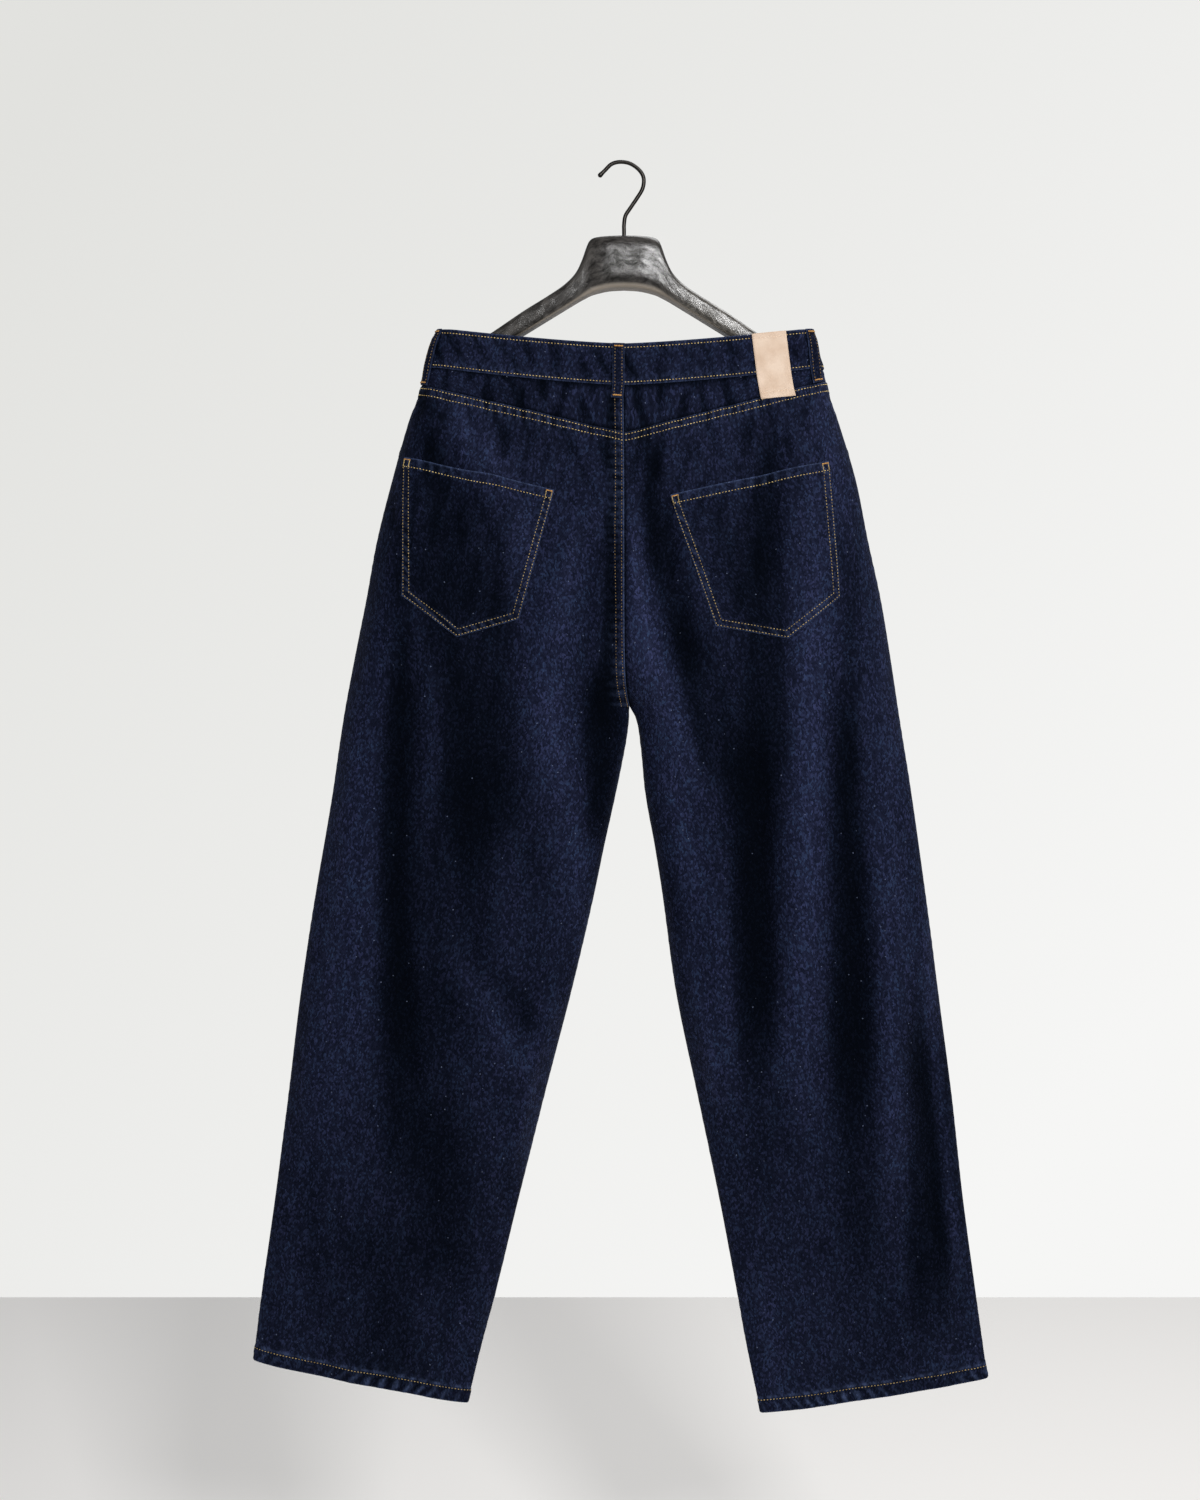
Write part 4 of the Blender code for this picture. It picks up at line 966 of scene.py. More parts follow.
def make_panel(name, side, face, t, c, materials):
    """One cloth panel: its outer face with seams and creases, and a plainer inner face."""
    t, c = np.broadcast_arrays(t, c)
    lift, worn = panel_form(side, face, t, c)
    points, normals = skin(side, face, t, c), outward(side, face, t, c)
    outer = apart(points + normals * lift[..., None], side, face, t, c)
    from_hem = (5 - t) * LENGTHS[side, face, 4]
    turned_up = 0.5 * smooth((HEM_HEIGHT + 0.5 - from_hem) / 1.0) * (from_hem > 0.6)
    under = -DENIM - turned_up + np.minimum(lift, 0) * 0.5
    under = np.minimum(under + swell(side, face, t, c), lift - 0.8 * DENIM)
    inner = apart(points + normals * under[..., None], side, face, t, c)
    in_hem = (from_hem[:-1, :-1] < HEM_HEIGHT) & (t[:-1, :-1] > 4)
    slots = np.where(in_hem, 0, 1).ravel()
    piece = make_shell(f"{name}_cloth", outer, inner, materials, worn, slots,
                       nap_and_shade_at(side, face, t, c))
    dress(piece, name)
    return piece


def on_panel(side, face, t, c, extra=0.0):
    """Points and directions on the finished outer face of a panel, for a row of stitches."""
    t, c = together(t, c)
    lift = panel_form(side, face, t, c)[0] + extra
    normals = outward(side, face, t, np.minimum(c, 0.9995))
    return apart(skin(side, face, t, c) + normals * lift[..., None], side, face, t, c), normals


def build_yokes(denim):
    for side in (LEFT, RIGHT):
        t = np.linspace(1.0, 1.997, 26)[:, None]
        c = shares_across(width_at(side, BACK, t[:, 0]), YOKE_COLUMNS)
        make_panel(f"yoke_{side_name(side)}", side, BACK, t, c, denim)


def build_back_legs(denim):
    for side in (LEFT, RIGHT):
        strip = 2 + TOP_STRIP / LENGTHS[side, BACK, 2]
        rows = leg_rows(side, BACK, strip[-1] + 0.012, *BACK_STEPS)
        t = np.concatenate((strip, rows))[:, None]
        c = shares_across(width_at(side, BACK, t[:, 0]), BACK_COLUMNS)
        make_panel(f"back_leg_{side_name(side)}", side, BACK, t, c, denim)


def mouth_top(side, grown=0.0):
    """The angle at which the front pocket's mouth runs in under the waistband."""
    angles = np.linspace(0.6, math.pi / 2, 300)
    x, z = mouth_curve(side, grown, angles)
    return float(np.interp(-1.0, -find_place(side, FRONT, x, z)[0], angles))


def build_front_legs(denim):
    """Above the pocket mouth's lower end the rows fan out from the mouth to the centre."""
    for side in (LEFT, RIGHT):
        angles = np.linspace(mouth_top(side), 0, 44)
        start_t, start_c = find_place(side, FRONT, *mouth_curve(side, 0, angles))
        share = (1 - np.linspace(0, 1, 44)) ** 1.15
        end_t = start_t[-1] - (start_t[-1] - 1.0) * share
        w = shares_across(width_at(side, FRONT, end_t) * (1 - start_c), FRONT_COLUMNS)
        fan_t = start_t[:, None] + (end_t - start_t)[:, None] * smooth(w * 1.15) ** 0.9
        fan_c = start_c[:, None] + (1 - start_c)[:, None] * w
        low = start_t[-1] + np.array((1, 2, 3.2, 4.6, 6.2, 7.6, 8.8, 10, 11.5, 13.5)) / 215.0
        rows = leg_rows(side, FRONT, low[-1] + 0.014, *FRONT_STEPS)
        t = np.concatenate((low, rows))
        c = shares_across(width_at(side, FRONT, t), FRONT_COLUMNS)
        t = np.concatenate((fan_t, t[:, None] + 0 * c))
        c = np.concatenate((fan_c, c))
        make_panel(f"front_leg_{side_name(side)}", side, FRONT, t, c, denim)


def build_facings(denim):
    """The denim that shows inside the front pocket's mouth, a little lower than the leg."""
    for side in (LEFT, RIGHT):
        angles = np.linspace(mouth_top(side, -SEAM_GAP), 0.05, 30)
        t, end = find_place(side, FRONT, *mouth_curve(side, -SEAM_GAP, angles))
        c = end[:, None] * (1 - np.cos(math.pi / 2 * np.linspace(0, 1, 30)))
        t = t[:, None] + 0 * c
        normals = outward(side, FRONT, t, c)
        grids = [apart(skin(side, FRONT, t, c) + normals * lift, side, FRONT, t, c)
                 for lift in (-FACING_RECESS, -DENIM)]
        name = f"pocket_facing_{side_name(side)}"
        piece = make_shell(f"{name}_cloth", *grids, denim)
        dress(piece, name)


# ---------------------------------------------------------------- back pockets and fly

def pocket_edges(corners):
    """The first corner of each straight edge, and the direction square to the edge, inward."""
    corners = np.array(corners, float)
    middle = corners.mean(axis=0)
    for a, b in zip(corners, np.roll(corners, -1, axis=0)):
        along = unit(b - a)
        square = np.array((-along[1], along[0]))
        yield a, square if (middle - a) @ square > 0 else -square


def inward_distance(corners, x, z):
    """Distance of places from each straight edge of a pocket, positive inside."""
    return np.array([(x - a[0]) * square[0] + (z - a[1]) * square[1]
                     for a, square in pocket_edges(corners)])


def pocket_form(side, x, z):
    """Lift and wear of a back pocket over the leg's skin."""
    edges = inward_distance(POCKETS[side], x, z)
    mouth, sides = edges[0], np.min(edges[1:], axis=0)
    middle = smooth(sides / 40)
    ripple = puckers(x + z, POCKET_PUCKERS, side + 0.4)
    mouth_ripple = 0.35 * puckers(x, MOUTH_PUCKERS, side)
    strip = smooth((POCKET_ROWS[1] + 2.2 - sides) / 2.0)
    hem = smooth((POCKET_HEM + 0.5 - mouth) / 1.2)
    lift = SEAM_GAP + POCKET_WALL + edge_drop(sides) + edge_drop(mouth)
    lift = lift + groove(sides, POCKET_ROWS) * smooth((mouth - 1) / 2)
    lift = lift + groove(mouth, (POCKET_MOUTH_ROW,)) + POCKET_HEM_RISE * hem
    lift = lift + 0.3 * ripple * strip + mouth_ripple * hem
    lift = lift + 1.3 * middle * hump(mouth / 16)
    worn = 0.8 * hump(mouth / 1.0) + 0.55 * hump(sides / 0.8)
    worn = worn + 0.35 * ripple * strip + mouth_ripple * hem
    return lift, worn


def on_pocket(side, x, z, extra=0.0):
    """Points, directions and wear on a back pocket, for places given by x and z."""
    t, c = find_place(side, BACK, x, z)
    lift, worn = pocket_form(side, x, z)
    normals = outward(side, BACK, t, c)
    lift = lift + extra + swell(side, BACK, t, c)
    return skin(side, BACK, t, c) + normals * lift[..., None], normals, worn


def pocket_grid(corners, across=60, down=58):
    """Places (x, z) in a pocket: columns from the first edge's start to its end, rows from the
    mouth to the pointed bottom."""
    a, b, c, d, e = (np.array(p, float) for p in corners)
    fine = np.array((0, 0.5, 1.1, 1.8, 2.8, 4.2, 5.6, 6.8, 7.8, 9.0, 11.0)) / 150
    left_part = np.concatenate((fine, np.linspace(fine[-1], 1 - fine[-1], across)[1:-1]))
    u = np.concatenate((left_part, 1 - fine[::-1]))
    point = np.linalg.norm(d - e) / (np.linalg.norm(d - e) + np.linalg.norm(c - d))
    u[np.argmin(abs(u - point))] = point
    mouth = np.array((0, 0.5, 1.1, 2, 3.2, 4.6, 6, 7.4, 8.4, 9.0, 9.8, 10.8, 11.8, 13)) / 145
    low = 1 - np.array((9.0, 7.8, 6.8, 5.6, 4.2, 2.8, 1.8, 1.1, 0.5, 0)) / 145
    v = np.concatenate((mouth, np.linspace(mouth[-1], low[0], down)[1:-1], low))[:, None, None]
    top = a + (b - a) * u[:, None]
    share = np.minimum(u / point, 1)[:, None]
    other = np.maximum((u - point) / (1 - point), 0)[:, None]
    bottom = e + (d - e) * share + (c - d) * other
    places = top * (1 - v) + bottom * v
    return places[..., 0], places[..., 1]


def inset_corners(corners, distance):
    """The pocket's outline moved inward by a distance: its corners, in the same order."""
    lines = [(square, a @ square + distance) for a, square in pocket_edges(corners)]
    return [np.linalg.solve(np.array((n1, n2)), np.array((d1, d2)))
            for (n1, d1), (n2, d2) in zip([lines[-1]] + lines[:-1], lines)]


def line_places(points, step=1.5):
    """Close places along a line of corners."""
    points = np.array(points, float)
    parts = []
    for a, b in zip(points, points[1:]):
        count = max(int(np.linalg.norm(b - a) / step), 2)
        parts.append(a + (b - a) * np.linspace(0, 1, count, endpoint=False)[:, None])
    parts.append(points[-1:])
    return np.concatenate(parts)


def pocket_row(side, corners):
    """A row of stitches on a back pocket, along a line of corners."""
    points, directions, _ = on_pocket(side, *line_places(corners).T, 0.1)
    return stitch_row(points, directions)


def pocket_tack(side, start, end, *sizes):
    """A bar tack on a back pocket, from start to end."""
    points, directions, _ = on_pocket(side, *np.array((start, end)).T, 0.15)
    return bar_tack(*points, directions.mean(axis=0), *sizes)


def build_back_pockets(denim, thread, dull, tack):
    for side in (LEFT, RIGHT):
        name = f"back_pocket_{side_name(side)}"
        corners = POCKETS[side]
        x, z = pocket_grid(corners)
        outer, normals, worn = on_pocket(side, x, z)
        lift = pocket_form(side, x, z)[0]
        inner = outer - normals * (lift - SEAM_GAP)[..., None]
        nap_and_shade = nap_and_shade_at(side, BACK, *find_place(side, BACK, x, z))
        piece = make_shell(f"{name}_cloth", outer, inner, denim, worn, 1, nap_and_shade)
        dress(piece, name)

        first, second = np.array(corners[0], float), np.array(corners[1], float)
        along = unit(second - first)
        low = inset_corners(corners, POCKET_MOUTH_ROW)[0] - first
        drop = low - low @ along * along
        sides, tacks = [], []
        for inset in POCKET_ROWS:
            p = inset_corners(corners, inset)
            sides.append(pocket_row(side, [second + drop - along * inset, *p[2:],
                                           first + drop + along * inset]))
        mouth = [pocket_row(side, [first + drop + along * 1.5, second + drop - along * 1.5])]
        for corner, inward in ((first, along), (second, -along)):
            top = corner + drop * 0.22
            tacks.append(pocket_tack(side, top + inward, top + inward * 7.6, 1.3))
            for share in POCKET_ROWS:
                upright = corner + inward * share
                mouth.append(pocket_tack(side, upright + drop * 0.3, upright + drop, 0.8, 0.9))
        make_thread(f"{name}_stitches", sides, dull, 11 + side)
        make_thread(f"{name}_mouth_stitches", mouth, thread, 16 + side)
        make_thread(f"{name}_tacks", tacks, tack, 21 + side)


def fly_reach(t):
    """How far the fly reaches from the centre seam at each level: straight, then a J turn."""
    z = inner_place(LEFT, FRONT, t)[1]
    low = inner_place(LEFT, FRONT, np.asarray(1.0))[1] - FLY_LENGTH
    up = np.clip(z - low, 0, FLY_WIDTH)
    return np.sqrt(np.maximum(FLY_WIDTH ** 2 - (FLY_WIDTH - up) ** 2, 0))


def fly_rows():
    """Levels of the fly's rows, closer in the turn at its bottom."""
    z_top = float(inner_place(LEFT, FRONT, np.asarray(1.0))[1])
    angles = np.linspace(math.pi / 2, 0.05, 26)
    z = np.concatenate((np.linspace(z_top, z_top - FLY_LENGTH + FLY_WIDTH, 44)[:-1],
                        z_top - FLY_LENGTH + FLY_WIDTH * (1 - np.cos(angles))))
    return find_place(LEFT, FRONT, np.full(z.shape, -3.0), z)[0]


def build_fly(denim, thread, tack):
    """The fly lies on the wearer's left front, over the felled edge of the leg."""
    t = np.maximum(fly_rows(), 1.0)
    width = width_at(LEFT, FRONT, t)
    reach = fly_reach(t)
    share = np.concatenate((np.linspace(0, 0.7, 18), 1 - 0.3 * np.cos(
        math.pi / 2 * np.linspace(0, 1, 16))[1:]))
    c = 1 - (reach / width)[:, None] * share
    t = t[:, None] + 0 * c
    points, normals = on_panel(LEFT, FRONT, t, c, SEAM_GAP)
    from_edge = (1 - share) * reach[:, None]
    ripple = puckers(points[..., 2], FLY_PUCKERS, 0.8)
    lift = FLY_WALL + edge_drop(from_edge) + groove(from_edge, FLY_ROWS) + 0.25 * ripple
    worn = 0.7 * hump(from_edge / 0.9) + 0.3 * ripple * hump((from_edge - 4) / 5)
    outer = points + normals * lift[..., None]
    piece = make_shell("fly_cloth", outer, points, denim, worn)
    dress(piece, "fly")

    rows, tacks = [], []
    levels = fly_rows()
    levels = levels[levels >= 1]
    for inset in FLY_ROWS:
        distance = fly_reach(levels) - inset
        keep = distance > 1.5
        c_line = 1 - distance[keep] / width_at(LEFT, FRONT, levels[keep])
        rows.append(stitch_row(*on_panel(LEFT, FRONT, levels[keep], c_line,
                                         SEAM_GAP + FLY_WALL + 0.05)))
    for level, height in ((levels[-1] - 0.08, 7.0), (levels[-1] - 0.24, 7.0)):
        reach = float(fly_reach(np.asarray(level)))
        width = float(width_at(LEFT, FRONT, level))
        c_line = 1 - np.array((reach - 1.0, max(reach - height, 1.5))) / width
        points, normals = on_panel(LEFT, FRONT, np.full(2, level), c_line,
                                   SEAM_GAP + FLY_WALL + 0.1)
        tacks.append(bar_tack(points[0], points[1], normals.mean(axis=0), 2.2))
    make_thread("fly_stitches", rows, thread, 31)
    make_thread("fly_tacks", tacks, tack, 32)


# ---------------------------------------------------------------- the waistband and its trim

QUARTERS = ((RIGHT, FRONT, -1), (RIGHT, BACK, 1), (LEFT, BACK, -1), (LEFT, FRONT, 1))
RING_SHARES = 1 - np.cos(math.pi / 2 * np.linspace(0, 1, 70))
BAND_SHARES = 1 - np.cos(math.pi / 2 * np.linspace(0, 1, 96))


def ring(t):
    """The garment's round at one level, from the front centre over the wearer's right: points,
    directions, and the cloth's length so far."""
    parts = [(side, face, RING_SHARES[::way]) for side, face, way in QUARTERS]
    points = np.concatenate([skin(side, face, t, c) for side, face, c in parts])
    normals = np.concatenate([outward(side, face, t, np.minimum(c, 0.999))
                              for side, face, c in parts])
    return points, normals, length_along(points)


def ring_place(gone, side, face, c):
    """The cloth's length at which the ring reaches a place."""
    quarter = [q[:2] for q in QUARTERS].index((side, face))
    part = gone[quarter * len(RING_SHARES):(quarter + 1) * len(RING_SHARES)]
    return float(np.interp(c, RING_SHARES, part[::QUARTERS[quarter][2]]))


def on_ring(t, side, face, c, distances):
    """Points and directions this far along the ring from a place."""
    points, normals, gone = ring(t)
    places = ring_place(gone, side, face, c) + np.asarray(distances)
    return at_length(points, gone, places), unit(at_length(normals, gone, places))


def band_run(t):
    """The whole band at one level, from its inner end round the back to its outer end."""
    widths = {side: float(width_at(side, FRONT, t)) for side in (LEFT, RIGHT)}
    under = 1 - OVERLAP_UNDER * np.linspace(1, 0, 9)[:-1] / widths[LEFT]
    over = 1 - OVERLAP_OVER * np.linspace(0, 1, 10)[1:] / widths[RIGHT]
    shares = BAND_SHARES
    parts = ((LEFT, FRONT, under), (RIGHT, FRONT, shares[::-1]), (RIGHT, BACK, shares[1:]),
             (LEFT, BACK, shares[-2::-1]), (LEFT, FRONT, shares[1:]), (RIGHT, FRONT, over))
    points = np.concatenate([skin(side, face, t, c) for side, face, c in parts])
    normals = np.concatenate([outward(side, face, t, np.minimum(c, 0.999))
                              for side, face, c in parts])
    short = (1 - shares[1:]) * widths[LEFT] - OVERLAP_UNDER
    raised = np.zeros(len(points))
    raised[-len(short) - len(over):-len(over)] = smooth(1 - short / OVERLAP_RAMP)
    raised[-len(over):] = 1
    points[:, 1] += (BAND_WALL + SEAM_GAP) * raised
    return points, normals


BAND_ROWS = (4.0, 37.0)     # rows of stitches, down from the top edge
BAND_STRIP = np.array((0.0, 0.35, 0.8, 1.4, 2.2, 3.1, 4.0, 4.9, 6.0, 8.0, 11.0, 14.5, 18.0, 21.5,
                       25.0, 28.5, 31.5, 34.0, 35.6, 36.4, 37.0, 37.7, 38.4, 39.0, 39.4, 39.7))
BAND_DEPTH = BAND_STRIP[-1]


def band_form(down, along):
    """Lift and wear of the band, by the distance below its top edge."""
    up = BAND_DEPTH - down
    low_ripple = puckers(along, BAND_LOW_PUCKERS, 0.3)
    top_ripple = puckers(along, BAND_TOP_PUCKERS, 1.9)
    lift = BAND_PROUD + 1.6 * edge_drop(down) + 1.1 * edge_drop(up) + groove(down, BAND_ROWS)
    lift = lift + 0.42 * low_ripple * hump((up - 3.5) / 5) + 0.25 * top_ripple * hump(down / 7)
    lift = lift + 1.15 * crumple(LEFT, BACK, along, down * 1.6) * hump((down - 20) / 13)
    worn = 0.6 * hump(down / 1.0) + 0.4 * hump(up / 0.8)
    worn = worn + 0.4 * low_ripple * hump((up - 4) / 5) + 0.25 * top_ripple * hump((down - 4) / 6)
    return lift, worn


def band_nap_and_shade(down, along):
    """The band's nap with painted shade and highlight: by its crumples in the middle, and painted
    stripes of shade between the puckers of its rows.
    """
    up = BAND_DEPTH - down
    height = PAINTED_SHADE_PER_CRUMPLE * crumple(LEFT, BACK, along, down * 0.8)
    height = height * (0.5 + hump((down - 20) / 13))
    height = height - 2.6 * puckers(along + 4, BAND_LOW_PUCKERS, 0.3) * hump((up - 6) / 6)
    height = height - 2.2 * puckers(along + 5, BAND_TOP_PUCKERS, 1.9) * hump((down - 7) / 5)
    return nap_and_shade_of(height + 0.5)


def build_waistband(denim, thread):
    outer, inner, worn, nap_and_shade = [], [], [], []
    rows, stitches = BAND_STRIP / BAND_DEPTH, []
    level_rows = np.concatenate((rows, [row / BAND_DEPTH for row in BAND_ROWS]))
    for i, t in enumerate(level_rows):
        points, normals = band_run(t)
        along = length_along(points)
        lift, wear = band_form(t * BAND_DEPTH, along)
        ends = edge_drop(along) + edge_drop(along[-1] - along)
        if i >= len(rows):
            line = points + normals * (lift + 0.05)[:, None]
            stitches.append(stitch_row(line[2:-2], normals[2:-2]))
            continue
        outer.append(points + normals * (lift + ends)[:, None])
        below = BAND_PROUD - BAND_WALL - 1.6 * edge_drop(t * BAND_DEPTH) - ends
        inner.append(points + normals * below[:, None])
        worn.append(wear + 0.6 * hump(along / 1.0) + 0.6 * hump((along[-1] - along) / 1.0))
        nap_and_shade.append(band_nap_and_shade(t * BAND_DEPTH, along))
    outer, inner = np.array(outer), np.array(inner)
    piece = make_shell("waistband_cloth", outer, inner, denim, np.array(worn), 0, np.array(nap_and_shade))
    dress(piece, "waistband")
    line_t = np.linspace(0.09, 0.94, 30)
    ends = [band_run(t) for t in line_t]
    lifts = [band_form(t * BAND_DEPTH, np.asarray(700.0))[0] + 0.05 for t in line_t]
    points = np.array([p[-3] + n[-3] * lift for (p, n), lift in zip(ends, lifts)])
    stitches.append(stitch_row(points, np.array([n[-3] for p, n in ends])))
    make_thread("waistband_stitches", stitches, thread, 41)


def strip_grid(side, face, in_top, in_low, width, rows, wall, columns, crown=0.0):
    """Outer and inner grids of a strip sewn on the band: rows are (t, stand-off). Below the band
    its middle keeps the same distance from the side seam."""
    outer, inner, directions = [], [], []
    offsets = width * np.asarray(columns)
    across = np.abs(np.asarray(columns)) * 2
    rim = 0.55 * (1 - smooth((1 - across) * width / 2 / 1.0))
    for t, stand in rows:
        at = np.asarray(t)
        span = abs(float(inner_place(side, face, at)[0] - side_place(side, at)[0]))
        c = (in_top + (in_low - in_top) * min(t, 1)) / span
        points, normals = on_ring(at, side, face, c, offsets)
        outer.append(points + normals * (stand + wall - rim + crown * (1 - across ** 2))[:, None])
        inner.append(points + normals * (stand + rim * 0.4)[:, None])
        directions.append(normals)
    return np.array(outer), np.array(inner), np.array(directions)


def on_grid(grid, i, j):
    """Points of a grid at fractional rows and columns."""
    i, j = together(i, j)
    i0 = np.clip(i.astype(int), 0, grid.shape[0] - 2)
    j0 = np.clip(j.astype(int), 0, grid.shape[1] - 2)
    fi, fj = (i - i0)[..., None], (j - j0)[..., None]
    return ((grid[i0, j0] * (1 - fi) + grid[i0 + 1, j0] * fi) * (1 - fj)
            + (grid[i0, j0 + 1] * (1 - fi) + grid[i0 + 1, j0 + 1] * fi) * fj)


LOOP_COLUMNS = np.array((-0.5, -0.48, -0.45, -0.40, -0.33, -0.27, -0.21, -0.12, -0.04, 0.04, 0.12,
                         0.21, 0.27, 0.33, 0.40, 0.45, 0.48, 0.5))


def build_loops(denim, thread, tack):
    """Each loop is tacked at both ends and stands off between them."""
    stitches, tacks = [], []
    for loop in LOOPS:
        below, at_rest = loop.end - 1, LOOP_REST + 1.4 * loop.raised
        on_top = LOOP_REST + BAND_PROUD
        keys = (0.0, 0.12, 0.3, 0.6, 1.0, 1 + below * 0.6, 1 + below)
        stands = (on_top - 0.2, on_top, on_top + LOOP_BOW * 0.85, on_top + LOOP_BOW,
                  on_top + LOOP_BOW * 0.5, at_rest + 0.2, at_rest)
        t = np.concatenate((np.array((0.0, 0.01, 0.025, 0.05, 0.08)),
                            np.linspace(0.12, 1 + below * 0.8, 24),
                            1 + below * np.array((0.86, 0.92, 0.96, 0.985, 1.0))))
        rows = list(zip(t, curve_through(keys, stands, t)))
        outer, inner, normals = strip_grid(loop.side, loop.face, loop.in_top, loop.in_low,
                                           LOOP_WIDTH, rows, LOOP_WALL, LOOP_COLUMNS, 0.2)
        along = length_along(outer[:, 9])
        from_edge = (0.5 - abs(LOOP_COLUMNS)) * LOOP_WIDTH
        ends = np.minimum(along, along[-1] - along)[:, None]
        lift = edge_drop(ends) + groove(from_edge, (LOOP_ROW,)) + 0 * ends
        lift = lift + 0.15 * puckers(along, LOOP_PUCKERS, loop.in_top)[:, None]
        outer = outer + normals * lift[..., None]
        worn = 0.4 * hump(from_edge / 0.8) + 0.3 * hump(ends / 1.5)
        piece = make_shell(f"{loop.name}_cloth", outer, inner, denim, worn, 0,
                           LOOP_NAP + 0 * worn)
        dress(piece, loop.name)
        for inset in (LOOP_ROW, LOOP_WIDTH - LOOP_ROW):
            j = np.interp(inset / LOOP_WIDTH - 0.5, LOOP_COLUMNS, range(len(LOOP_COLUMNS)))
            i = np.linspace(2, len(t) - 3, 80)
            line, away = on_grid(outer, i, j), unit(on_grid(normals, i, j))
            stitches.append(stitch_row(line + away * 0.1, away))
        for row in (np.interp(3.0, along, range(len(t))),
                    np.interp(along[-1] - 2.4, along, range(len(t)))):
            j = np.linspace(3.4, len(LOOP_COLUMNS) - 4.4, 6)
            away = unit(on_grid(normals, row, j))
            line = on_grid(outer, row, j) + away * 0.3
            tacks += [bar_tack(a, b, n, 1.4) for a, b, n in zip(line, line[1:], away)]
    make_thread("loop_stitches", stitches, thread, 51)
    make_thread("loop_tacks", tacks, tack, 52)


def build_patch(leather, thread):
    """Plain leather, sewn along its top and bottom edges with thread of its own colour."""
    on_top = LOOP_REST + BAND_PROUD
    end = PATCH_END
    keys = (0.0, 0.5, 1.0, 1 + (end - 1) * 0.5, end)
    stands = (on_top, on_top, on_top, LOOP_REST + 0.6, LOOP_REST + FELL_RISE)
    t = np.concatenate(((0.0, 0.012, 0.03, 0.055), np.linspace(0.09, end - 0.05, 44),
                        end - np.array((0.03, 0.016, 0.006, 0.0))))
    columns = np.concatenate(((-0.5, -0.492, -0.475, -0.45), np.linspace(-0.42, 0.42, 26),
                              (0.45, 0.475, 0.492, 0.5)))
    full_t = np.append(t, (end + 0.07, end + 0.14))
    levels = np.minimum(full_t, 2) + np.maximum(full_t - 2, 0) * PAST_YOKE
    grids = strip_grid(RIGHT, BACK, PATCH_IN_TOP, PATCH_IN_LOW, PATCH_WIDTH,
                       list(zip(levels, curve_through(keys, stands, full_t))), PATCH_WALL, columns)
    leaning = np.interp(t[:, None] * (1 + PATCH_LEAN * columns), full_t, range(len(full_t)))
    outer, inner, normals = (on_grid(grid, leaning, np.arange(len(columns))) for grid in grids)
    normals = unit(normals)
    along = length_along(outer[:, 17])
    ends = np.minimum(along, along[-1] - along)[:, None]
    seats = (5.0, along[-1] - 6.5)
    lift = edge_drop(ends) + groove(along, seats)[:, None] + 0 * normals[..., 0]
    lift = lift + 0.25 * np.sin(along / 11 + 0.6)[:, None] * np.cos(columns * 4)
    outer = outer + normals * lift[..., None]
    piece = make_shell("leather_patch_hide", outer, inner, [leather], None, 0)
    dress(piece, "leather_patch")
    stitches = []
    for seat in seats:
        i = np.interp(seat, along, range(len(t)))
        j = np.linspace(1.5, len(columns) - 2.5, 60)
        line, away = on_grid(outer, i, j), unit(on_grid(normals, i, j))
        stitches.append(stitch_row(line + away * 0.05, away, 2.6, 1.9, 0.32))
    make_thread("leather_patch_stitches", stitches, thread, 61)


def lathe(profile, sides):
    """Points and faces of a turned piece: profile rows are (radius, height), closed at both
    ends. Its axis is Y."""
    angles = 2 * math.pi * np.arange(sides) / sides
    rings = [np.stack((r * np.cos(angles), 0 * angles + h, r * np.sin(angles)), -1)
             for r, h in profile]
    return np.concatenate(rings), ring_quads(len(profile), sides)


def build_button(brass):
    """A turned shank button, domed, with a rolled rim and a plain ring."""
    shares = [1 - BUTTON_PAST_CENTRE / float(width_at(RIGHT, FRONT, t)) for t in (0, 1)]
    top = Vector(skin(RIGHT, FRONT, 0, shares[0]))
    low = Vector(skin(RIGHT, FRONT, 1, shares[1]))
    axis = (low - top).cross(Vector((-1, 0, 0))).normalized()
    centre = (top + low) / 2 + axis * (BAND_WALL + BAND_PROUD + 2 * SEAM_GAP)
    r, h = BUTTON_RADIUS, BUTTON_HEIGHT
    profile = [(0.01, 0), (r * 0.5, 0), (r * 0.5, h * 0.33), (r * 0.90, h * 0.38),
               (r * 0.975, h * 0.46), (r, h * 0.6), (r * 0.985, h * 0.76), (r * 0.93, h * 0.9),
               (r * 0.86, h * 0.985), (r * 0.80, h), (r * 0.755, h * 0.955), (r * 0.73, h * 0.87),
               (r * 0.70, h * 0.85), (r * 0.62, h * 0.885), (r * 0.56, h * 0.90),
               (r * 0.54, h * 0.865), (r * 0.50, h * 0.86), (r * 0.47, h * 0.91),
               (r * 0.3, h * 0.96), (r * 0.15, h * 0.98), (0.01, h * 0.985)]
    points, faces = lathe(profile, 64)
    turn = Vector((0, 1, 0)).rotation_difference(axis).to_matrix()
    points = points @ np.array(turn).T + np.array(centre)
    piece = make_mesh("waist_button_brass", points, faces, [brass], sharp=50)
    dress(piece, "waist_button")


# ---------------------------------------------------------------- the hanger

def hanger_section(x, top, bottom, half_thick, count=56, square=0.42):
    """One rounded-square section of the hanger, square to X."""
    angle = 2 * math.pi * (np.arange(count) + 0.5) / count
    y = np.sign(np.cos(angle)) * np.abs(np.cos(angle)) ** square * half_thick
    z = np.sign(np.sin(angle)) * np.abs(np.sin(angle)) ** square * (top - bottom) / 2
    return np.stack((x + 0 * y, y, (top + bottom) / 2 + z), -1)


